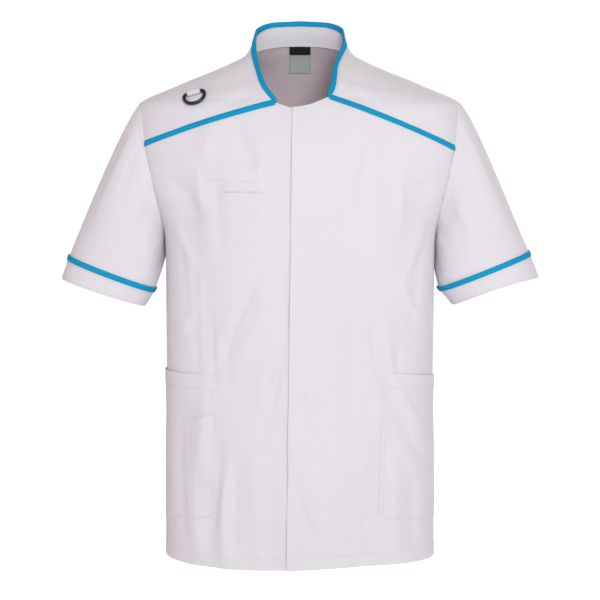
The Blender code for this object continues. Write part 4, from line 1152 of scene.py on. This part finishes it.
def domed(across):
    """Height of a flat tape above its edges, by share of its width."""
    return 0.55 * (1 - np.abs(2 * across - 1) ** 3)


def tape_lines(tape, width):
    """How far a tape's points lie from the stitching along its two edges."""
    edges = np.broadcast_to((TAPE_ACROSS * width)[:, None], tape.shape[:2])
    return stitched(edges - TAPE_STITCH, width - edges - TAPE_STITCH)


for half in HALVES:
    angles = sleeve_lines(half)[0]
    seam, hem = oval(CUFF_SEAM[half.name], angles), oval(CUFF_HEM[half.name], angles)
    middle = (seam[0] + seam[len(seam) // 2]) / 2
    arrive = unit(np.array(SLEEVE_ARRIVES))
    away = (seam - middle) - ((seam - middle) @ arrive)[:, None] * arrive
    out, down = unit(away), unit(hem - seam)
    t = np.linspace(0, 1, CUFF_ROWS + 1)[:, None]
    depth = np.linalg.norm(hem - seam, axis=-1)[None] * t
    slow = 0.35 * np.sin(angles[None] * 5 + half.side) * np.sin(math.pi * t)
    rolled = 0.5 * np.exp(-(((1 - t) * CUFF_DEPTH / 2.0) ** 2))
    lift = 0.4 + slow - rolled + 0.25 * np.sin(angles[None] * 9 + 2) * t**2
    band = seam[None] * (1 - t[..., None]) + hem[None] * t[..., None] + out[None] * lift[..., None]
    lines = stitched(depth - TRIM_WIDTH / 2 - CUFF_STITCH, depth[-1:] - depth - CUFF_STITCH)
    cuff = cloth("cuff_" + half.name + "_cloth", mirrored(band, half.side), WHITE,
                 side=half.side, closed=True, stitching=lines)
    sewn(cuff, "cuff_" + half.name)
    tape = np.stack([
        seam + down * ((a - 0.5) * CUFF_TAPE_WIDTH) + out * (CUFF_TAPE_LIFT + TRIM_WALL + domed(a))
        for a in TAPE_ACROSS
    ])
    trim = cloth("cuff_trim_" + half.name + "_tape", mirrored(tape, half.side), BLUE,
                 TRIM_WALL, half.side, closed=True, stitching=tape_lines(tape, CUFF_TAPE_WIDTH))
    sewn(trim, "cuff_trim_" + half.name)


# The yoke tapes. The same flat blue tape as on the cuffs, laid over each front yoke seam from the
# collar to the sleeve and stitched down along both edges.

YOKE_TAPE_WIDTH = 9.0
YOKE_TAPE_LIFT = 0.45
YOKE_TAPE_RISE = 0.15

for half in HALVES:
    seam = yoke_seam(half)
    t = np.linspace(0, 1, len(seam))
    rows = []
    for a in TAPE_ACROSS:
        height = seam[:, 1] + YOKE_TAPE_RISE + (a - 0.5) * YOKE_TAPE_WIDTH
        share = seam[:, 0] - 0.004 * (1 - t) ** 20 - t * (0.003 + 0.006 * a)
        lift = np.full_like(t, YOKE_TAPE_LIFT + TRIM_WALL + domed(a))
        rows.append(body(half.side, share, height) + body_out(half.side, share, height) * lift[:, None])
    tape = np.stack(rows)
    trim = cloth("yoke_trim_" + half.name + "_tape", tape, BLUE, TRIM_WALL, half.side,
                 stitching=tape_lines(tape, YOKE_TAPE_WIDTH))
    sewn(trim, "yoke_trim_" + half.name)


# The collar. A low stand of two layers of poplin, sewn round the neckline, its free edge bound
# with the blue tape from one end round the back of the neck to the other.

COLLAR_FRONT_STEPS = 44
COLLAR_BACK_STEPS = 44
COLLAR_ROWS = 14
COLLAR_WALL = 1.2
COLLAR_END_RISE = 8.0
COLLAR_END_LEANS = (-0.1, 0.6, 0.8)
COLLAR_BOW = 1.5
COLLAR_TUCK = 1.6
COLLAR_FOOT_STITCH, COLLAR_EDGE_STITCH = 2.2, 1.6
BINDING_WALL = 0.5
BINDING_STITCH = 1.0
BINDING_RUN_ON = 3.0

# The binding's section: the collar's row it stands on, how far past that row, and how far off.
BINDING_SECTION = [
    (-3, 0.0, 0.55), (-3, 0.35, 0.95), (-2, 0.0, 1.05), (-2, 0.6, 1.1), (-1, 0.0, 1.0),
    (-1, 0.55, 0.7), (-1, 0.85, 0.0), (-1, 0.95, -0.6), (-1, 0.85, -1.2), (-1, 0.55, -1.9),
    (-1, 0.0, -2.2), (-2, 0.0, -2.25), (-3, 0.35, -2.1), (-3, 0.0, -1.75),
]

CollarEdge = namedtuple("CollarEdge", "round right left y z")
COLLAR_EDGE = [CollarEdge(*row) for row in [
    (0.15, 52.0, 47.0, -71.0, -46.0),
    (0.33, 61.0, 50.5, -44.0, -20.5),
    (0.45, 66.5, 59.0, -19.0, 2.0),
    (0.56, 69.5, 67.5, 8.0, 25.5),
    (0.69, 67.0, 66.5, 36.0, 43.5),
    (0.85, 43.0, 43.0, 69.0, 57.0),
    (1.00, 0.0, 0.0, 80.5, 60.5),
]]


def collar_lines():
    """Seam and free edge of the whole collar, left junction round the back to the right one."""
    seams, edges = [], []
    for half in HALVES[::-1]:
        places = np.concatenate([neck_front(half, COLLAR_FRONT_STEPS), neck_back(COLLAR_BACK_STEPS)[1:]])
        seam = body(1, places[:, 0], places[:, 1])
        run = run_along(seam)
        end = seam[0] + unit(np.array(COLLAR_END_LEANS)) * COLLAR_END_RISE
        table = [(0.0, *end)] + [(row.round, getattr(row, half.name), row.y, row.z) for row in COLLAR_EDGE]
        table = np.array(table)
        edge = [smooth_through(table[:, 0], table[:, i], run / run[-1]) for i in (1, 2, 3)]
        seams.append(mirrored(seam, half.side))
        edges.append(mirrored(np.stack(edge, axis=-1), half.side))
    seam = np.concatenate([seams[0], seams[1][::-1][1:]])
    edge = np.concatenate([edges[0], edges[1][::-1][1:]])
    return seam, edge


seam, edge = collar_lines()
rise = np.linalg.norm(edge - seam, axis=-1, keepdims=True)
up = (edge - seam) / rise
out = unit(np.cross(np.gradient(seam, axis=0), up))
foot = seam - up * COLLAR_TUCK
strip = np.minimum(TRIM_WIDTH - 1.0, rise * 0.75) / rise
shares = [(1 - strip) * n / COLLAR_ROWS for n in range(COLLAR_ROWS + 1)] + [1 - strip * 0.5, strip * 0 + 1]
around = run_along(seam)[:, None]
behind = ease(edge[:, 1:2], 20, 70)
bow = COLLAR_BOW * ease(rise, 10, 40) * (1 - 2.8 * behind)
rows = []
for t in shares:
    ripple = 0.35 * np.sin(around / 17.0 + 2 * t) * np.sin(math.pi * t) * ease(rise, 10, 40)
    tucked = -1.3 * np.exp(-((t * rise / 3.0) ** 2))
    rows.append(foot * (1 - t) + edge * t + out * (bow * np.sin(math.pi * t) + ripple + tucked))
rows = np.stack(rows)
risen = np.linalg.norm(rows - rows[:1], axis=-1)
left_over = np.linalg.norm(rows - rows[-1:], axis=-1)
lines = stitched(risen - COLLAR_FOOT_STITCH, left_over - TRIM_WIDTH - COLLAR_EDGE_STITCH)
collar = cloth("collar_cloth", rows, WHITE, COLLAR_WALL, stitching=lines)
sewn(collar, "collar")

off = grid_out(rows)
over = unit(rows[-1] - rows[-2])
channel = []
for row, along, lift in BINDING_SECTION:
    base = rows[row] if along == 0 or row == -1 else rows[row] * (1 - along) + rows[row + 1] * along
    beyond = over * along * (1 if row == -1 else 0)
    channel.append(base + beyond + off[row] * lift)
channel = np.stack(channel)
first = channel[:, :1] + unit(channel[:, :1] - channel[:, 2:3]) * BINDING_RUN_ON
last = channel[:, -1:] + unit(channel[:, -1:] - channel[:, -3:-2]) * BINDING_RUN_ON
channel = np.concatenate([first, channel, last], axis=1)
width = np.cumsum(np.linalg.norm(np.diff(channel, axis=0, prepend=channel[:1]), axis=-1), axis=0)
lines = stitched(width - BINDING_STITCH, width[-1:] - width - BINDING_STITCH)
binding = cloth("collar_trim_tape", channel, BLUE, BINDING_WALL, outwards=True, stitching=lines)
sewn(binding, "collar_trim")


# The pockets. Patches of poplin laid on the right and left front: two hip pockets that end at
# the side seams, a pen pocket on the right one, and a chest pocket with a badge strip across it.

Patch = namedtuple("Patch", "foot_inner foot_outer mouth_inner mouth_outer")
HIP_POCKETS = {
    "right": Patch((129.0, -692.0), (202.0, -708.0), (120.5, -478.0), (202.0, -477.0)),
    "left": Patch((116.5, -690.0), (202.0, -708.0), (120.0, -474.0), (202.0, -489.0)),
}
PEN_POCKET = Patch((132.5, -690.0), (161.5, -695.5), (126.0, -533.0), (164.0, -547.0))
CHEST_POCKET = Patch((44.0, -321.0), (136.0, -321.0), (53.0, -173.5), (136.0, -173.5))
CHEST_BAND = Patch((54.5, -206.0), (111.5, -206.0), (54.5, -174.5), (111.5, -174.5))
HIP_GRID, PEN_GRID, CHEST_GRID, BAND_GRID = (78, 34), (54, 14), (54, 32), (16, 26)
HIP_WALL, CHEST_WALL = 1.0, 0.9
HIP_HEM, SMALL_HEM = 21.0, 15.0
PATCH_STITCH, FACING_STITCH = 1.6, 7.6
POCKET_LAY = 0.85
SIDE_MARGIN = 3.0
POCKET_GAPE = 1.8
POCKET_GAPE_DEPTH = 70.0


def at_spots(values, spots):
    """Values of a panel's grid at rows and columns with fractions."""
    low = np.clip(np.floor(spots).astype(int), 0, np.array(values.shape[:2]) - 2)
    part = spots - low
    r, c = low[..., 0], low[..., 1]
    v, u = part[..., :1], part[..., 1:]
    return (
        values[r, c] * (1 - u) * (1 - v) + values[r, c + 1] * u * (1 - v)
        + values[r + 1, c] * (1 - u) * v + values[r + 1, c + 1] * u * v
    )


def spot_on(panel, x, z):
    """Row and column, with fractions, of the panel's point seen at x and z from the front."""
    away = np.hypot(panel[..., 0] - x, panel[..., 2] - z)
    spot = np.array(np.unravel_index(np.argmin(away), panel.shape[:2]), float)
    for _ in range(12):
        here = at_spots(panel, spot)[[0, 2]]
        slopes = np.stack([
            (at_spots(panel, spot + step) - at_spots(panel, spot - step))[[0, 2]] / 1.0
            for step in (np.array([0.5, 0]), np.array([0, 0.5]))
        ], axis=-1)
        spot = spot + 0.7 * np.linalg.solve(slopes, np.array([x, z]) - here)
        spot = np.clip(spot, 0.51, np.array(panel.shape[:2]) - 1.51)
    return spot


def corner_spots(panel, patch, to_side):
    """Row and column on the panel of each corner of a patch."""
    if not to_side:
        return [spot_on(panel, *corner) for corner in patch]
    last = panel.shape[1] - 1
    width = np.linalg.norm(panel[4, last] - panel[4, last - 1])
    rows = np.arange(SIDE_ROWS)
    outer = [
        np.array([np.interp(corner[1], panel[:SIDE_ROWS, last, 2], rows), last - SIDE_MARGIN / width])
        for corner in patch[1::2]
    ]
    return [spot_on(panel, *patch[0]), outer[0], spot_on(panel, *patch[2]), outer[1]]


def spread(corners, rows, columns):
    """Corners at the foot and at the mouth, spread over rows and columns."""
    u, v = np.linspace(0, 1, columns)[None, :, None], np.linspace(0, 1, rows)[:, None, None]
    foot_inner, foot_outer, mouth_inner, mouth_outer = (np.array(corner) for corner in corners)
    return (
        foot_inner * (1 - u) * (1 - v) + foot_outer * u * (1 - v)
        + mouth_inner * (1 - u) * v + mouth_outer * u * v
    )


def patch_on(panel, patch, rows, columns, to_side=False):
    """Points of a patch on a panel's cloth and the panel's outward directions there."""
    if to_side:
        spots = spread(corner_spots(panel, patch, True), rows, columns)
    else:
        known = spread(patch, 7, 7)
        known = np.array([[spot_on(panel, *place) for place in row] for row in known])
        at_rows, at_columns = np.linspace(0, 6, rows), np.linspace(0, 6, columns)
        r, c = np.meshgrid(at_rows, at_columns, indexing="ij")
        spots = at_spots(known, np.stack([r, c], axis=-1))
    return at_spots(panel, spots), unit(at_spots(grid_out(panel), spots))


def patch_edges(points):
    """Distance of a patch's points from its foot, its mouth, its inner and its outer edge."""
    lines = (points[0], points[-1], points[:, 0], points[:, -1])
    return [away_from(points, [line]) for line in lines]


def gape(points, patch):
    """How far a hip pocket's mouth stands off the body."""
    mouth = patch.mouth_inner[1]
    across = np.linspace(0, 1, points.shape[1])[None]
    opened = ease(points[..., 2], mouth - POCKET_GAPE_DEPTH, mouth)
    return POCKET_GAPE * opened * np.sin(across**1.2 * math.pi * 0.9)


def rounded_edge(away, drop, reach=2.0):
    """The fall of a patch's turned edge towards the cloth it is sewn to."""
    return -drop * np.exp(-((away / reach) ** 2))


RIGHT = -1
PATCHES = {}
for half in HALVES:
    panel = mirrored(FRONTS[half.name], half.side)
    patch = HIP_POCKETS[half.name]
    base, out = patch_on(panel, patch, *HIP_GRID, to_side=True)
    foot, mouth, inner, outer = patch_edges(base)
    lift = POCKET_LAY + gape(base, patch) + 0.35 * (1 - ease(mouth, 20, 23))
    lift = lift + rounded_edge(inner, 0.4, 3.0) + rounded_edge(foot, 0.3)
    lift = lift + puckered(base, inner - 4, 9, 0.25)
    lift = lift + puckered(base, foot, 10, 0.25) + puckered(base, mouth - HIP_HEM, 7, 0.2)
    rows, columns = HIP_GRID
    sag = 0.8 * np.sin(np.linspace(0, math.pi, columns))[None]
    sag = sag * np.sin(np.linspace(0, 3.0, rows))[:, None]
    points = base + out * (lift + sag)[..., None]
    PATCHES[half.name] = points
    lines = stitched(np.minimum(inner, foot) - PATCH_STITCH, mouth - HIP_HEM, inner - FACING_STITCH)
    pocket = cloth("hip_pocket_" + half.name + "_cloth", mirrored(points, half.side), WHITE,
                   HIP_WALL, half.side, stitching=lines)
    sewn(pocket, "hip_pocket_" + half.name)

base, out = patch_on(PATCHES["right"], PEN_POCKET, *PEN_GRID)
foot, mouth, inner, outer = patch_edges(base)
sides = np.minimum(np.minimum(inner, outer), foot)
lift = POCKET_LAY + 0.2 + 0.9 * np.sin(np.linspace(0, math.pi, PEN_GRID[1]))[None] * ease(-mouth, -60, 0)
lift = lift + 0.3 * (1 - ease(mouth, 14, 17))
points = base + out * lift[..., None]
lines = stitched(sides - PATCH_STITCH, mouth - SMALL_HEM)
pen_pocket = cloth("pen_pocket_cloth", mirrored(points, RIGHT), WHITE, HIP_WALL, RIGHT, stitching=lines)
sewn(pen_pocket, "pen_pocket")

panel = mirrored(FRONTS["right"], RIGHT)
base, out = patch_on(panel, CHEST_POCKET, *CHEST_GRID)
foot, mouth, inner, outer = patch_edges(base)
sides = np.minimum(np.minimum(inner, outer), foot)
lift = POCKET_LAY - 0.35 + rounded_edge(sides, 0.3, 4.0)
lift = lift + rounded_edge(mouth, 0.1, 2.0) + 0.12 * (1 - ease(mouth, 14, 17))
points = base + out * lift[..., None]
chest_pocket = cloth("chest_pocket_cloth", mirrored(points, RIGHT), WHITE, CHEST_WALL, RIGHT,
                     stitching=stitched(mouth - SMALL_HEM))
sewn(chest_pocket, "chest_pocket")

base, out = patch_on(points, CHEST_BAND, *BAND_GRID)
foot, mouth, inner, outer = patch_edges(base)
ends = np.minimum(inner, outer)
strip_lift = 0.6 + rounded_edge(np.minimum(ends, mouth), 0.25, 3.0) + 1.0 * (1 - ease(foot, 0, 16))
strip_lift = strip_lift + 0.2 * np.sin(np.linspace(0, 9, BAND_GRID[1]))[None] * (1 - ease(foot, 0, 20))
points = base + out * strip_lift[..., None]
badge_strip = cloth("chest_pocket_band_cloth", mirrored(points, RIGHT), WHITE, CHEST_WALL, RIGHT,
                    stitching=stitched(foot - SMALL_HEM))
sewn(badge_strip, "chest_pocket_band")


# The neck labels. Two bare woven satin labels caught in the collar seam inside the back: a black
# one above a longer grey one.

LABEL_HALF_WIDTH = 16.7
LABEL_ROWS, LABEL_COLUMNS = 12, 21
LABEL_WALL, LABEL_GAP, LABEL_STITCH = 0.5, 1.0, 1.2
LABELS = {"neck_label_upper": (23.6, 11.0), "neck_label_lower": (10.5, -17.0)}
BLACK = woven("black_satin", (0.012, 0.012, 0.013), (0.022, 0.022, 0.024), 0.45, 3000, 0.6, 0.1)
GREY = woven("grey_satin", (0.50, 0.53, 0.52), (0.42, 0.45, 0.44), 0.5, 3000, 0.5, 0.1)

for (name, (top, foot_height)), finish, slot, cut in zip(
    LABELS.items(), (BLACK, GREY), ("black_label", "grey_label"),
    ((0.034, 0.0135, 0.00042), (0.034, 0.0285, 0.00093)),
):
    height = np.linspace(foot_height, top, LABEL_ROWS)[:, None] * np.ones((1, LABEL_COLUMNS))
    x = np.linspace(-LABEL_HALF_WIDTH, LABEL_HALF_WIDTH, LABEL_COLUMNS)[None] * np.ones((LABEL_ROWS, 1))
    columns = section_at(height[:, 0])
    girth = math.pi / 2 * (columns[0] + columns[2]) / 2
    share = 2 - np.abs(x) / girth[:, None]
    curl = 0.5 * (np.abs(x) / LABEL_HALF_WIDTH) ** 4 * (1 - ease(height, foot_height, top))
    depth = -(WALL + LABEL_GAP + curl)
    inside = body(1, share, height) + body_out(1, share, height) * depth[..., None]
    inside[..., 0] = x
    edges = stitched(LABEL_HALF_WIDTH - np.abs(x) - LABEL_STITCH, top - height - LABEL_STITCH)
    label = cloth(name + "_satin", inside, finish, LABEL_WALL, side=-1, stitching=edges)
    sewn(label, name)


# The watch ring and its tab. A moulded black plastic D ring, held by a folded strip of poplin
# that is stitched to the right yoke; the ring swings in the fold.

RING_WIRE = 5.2
RING_HALF_BAR = 10.5
RING_HALF_WIDTH = 15.7
RING_DEPTH = 21.5
RING_LEAN = math.radians(6)
RING_OFF = 0.3
TAB_HALF_WIDTH = 9.9
TAB_WALL = 0.9
TAB_LENGTH = 13.0
TAB_PLAY = 0.4
TAB_EDGE_STITCH, TAB_ROOT_STITCHES = 1.4, (2.0, 7.0)
RING_ALONG = unit(np.array([0.96314, -0.07271, 0.25898]))
RING_AWAY = unit(np.array([-0.23739, -0.68257, 0.69119]))
RING_DOWN = -np.cross(RING_AWAY, RING_ALONG) * (1 if np.cross(RING_AWAY, RING_ALONG)[2] > 0 else -1)


def d_outline():
    """The D of the ring's wire, as distance along the bar and distance below it."""
    points = [(x, 0.0) for x in np.linspace(-RING_HALF_BAR, RING_HALF_BAR, 9)]
    corner = RING_HALF_WIDTH - RING_HALF_BAR
    for turn in np.linspace(0, math.pi / 2, 9)[1:]:
        points.append((RING_HALF_BAR + corner * math.sin(turn), corner * (1 - math.cos(turn))))
    for turn in np.linspace(0, math.pi, 41)[1:-1]:
        bend = RING_DEPTH - corner
        points.append((RING_HALF_WIDTH * math.cos(turn), corner + bend * math.sin(turn) ** 0.9))
    for turn in np.linspace(math.pi / 2, 0, 9)[:-1]:
        points.append((-RING_HALF_BAR - corner * math.sin(turn), corner * (1 - math.cos(turn))))
    return points


bar = RING_SPOT + RING_AWAY * (RING_OFF + TAB_WALL + TAB_PLAY + RING_WIRE / 2)
fall = RING_DOWN * math.cos(RING_LEAN) - RING_AWAY * math.sin(RING_LEAN)
wire = bpy.data.curves.new("watch_ring_wire", "CURVE")
wire.dimensions = "3D"
wire.bevel_depth = RING_WIRE / 2 * MM
wire.bevel_resolution = 5
outline = d_outline()
path = wire.splines.new("POLY")
path.points.add(len(outline) - 1)
for point, (along, below) in zip(path.points, outline):
    point.co = (*(Vector(bar + RING_ALONG * along + fall * below) * MM), 1.0)
path.use_cyclic_u = True
wire_object = bpy.data.objects.new("watch_ring_wire", wire)
scene.collection.objects.link(wire_object)
depsgraph = bpy.context.evaluated_depsgraph_get()
ring_mesh = bpy.data.meshes.new_from_object(wire_object.evaluated_get(depsgraph))
bpy.data.objects.remove(wire_object)
ring_mesh.shade_smooth()
ring = bpy.data.objects.new("watch_ring_moulded", ring_mesh)
scene.collection.objects.link(ring)

PLASTIC, plastic_shader = principled("moulded_black", (0.013, 0.013, 0.015), 0.34)
tree, links = PLASTIC.node_tree, PLASTIC.node_tree.links
place = add_node(tree, "TexCoord")
skin = add_node(tree, "TexNoise", scale=900.0, detail=3.0)
links.new(place.outputs["Object"], skin.inputs["Vector"])
gloss = add_node(tree, "MapRange", to_min=0.24, to_max=0.46)
links.new(skin.outputs["Fac"], gloss.inputs["Value"])
links.new(gloss.outputs[0], plastic_shader.inputs["Roughness"])
grain = add_node(tree, "Bump", strength=0.25, distance=0.00008)
links.new(skin.outputs["Fac"], grain.inputs["Height"])
links.new(grain.outputs[0], plastic_shader.inputs["Normal"])
ring_mesh.materials.clear()
ring_mesh.materials.append(PLASTIC)
sewn(ring, "watch_ring", "watch_ring")

turn_radius = RING_WIRE / 2 + TAB_PLAY
centre = RING_OFF + TAB_WALL + turn_radius
loop = [(-TAB_LENGTH * (1 - t / 2), RING_OFF + TAB_WALL) for t in np.linspace(0, 1, 6)]
for turn in np.linspace(-math.pi / 2, math.pi / 2, 17):
    loop.append((turn_radius * math.cos(turn), centre + turn_radius * math.sin(turn)))
for t in np.linspace(0, 1, 12)[1:]:
    low = RING_OFF * 3 + TAB_WALL
    loop.append((-TAB_LENGTH * t, low + (centre + turn_radius - low) * float(1 - ease(t, 0.05, 0.9))))
columns = np.linspace(-TAB_HALF_WIDTH, TAB_HALF_WIDTH, 25)
leaf = []
for below, away in loop:
    puffed = away + 0.25 * np.sin(columns / TAB_HALF_WIDTH * 2.2 + 0.6) * (1 if away > centre else 0)
    leaf.append(RING_SPOT + RING_DOWN * below + RING_AWAY * puffed[:, None] + RING_ALONG * columns[:, None])
leaf = np.stack(leaf)
ends = TAB_HALF_WIDTH - np.abs(np.broadcast_to(columns, leaf.shape[:2]))
root = np.broadcast_to(np.array([TAB_LENGTH + below for below, _ in loop])[:, None], leaf.shape[:2])
lines = stitched(ends - TAB_EDGE_STITCH, *(root - line for line in TAB_ROOT_STITCHES))
tab = cloth("ring_tab_cloth", leaf, WHITE, TAB_WALL, outwards=True, stitching=lines)
sewn(tab, "ring_tab")
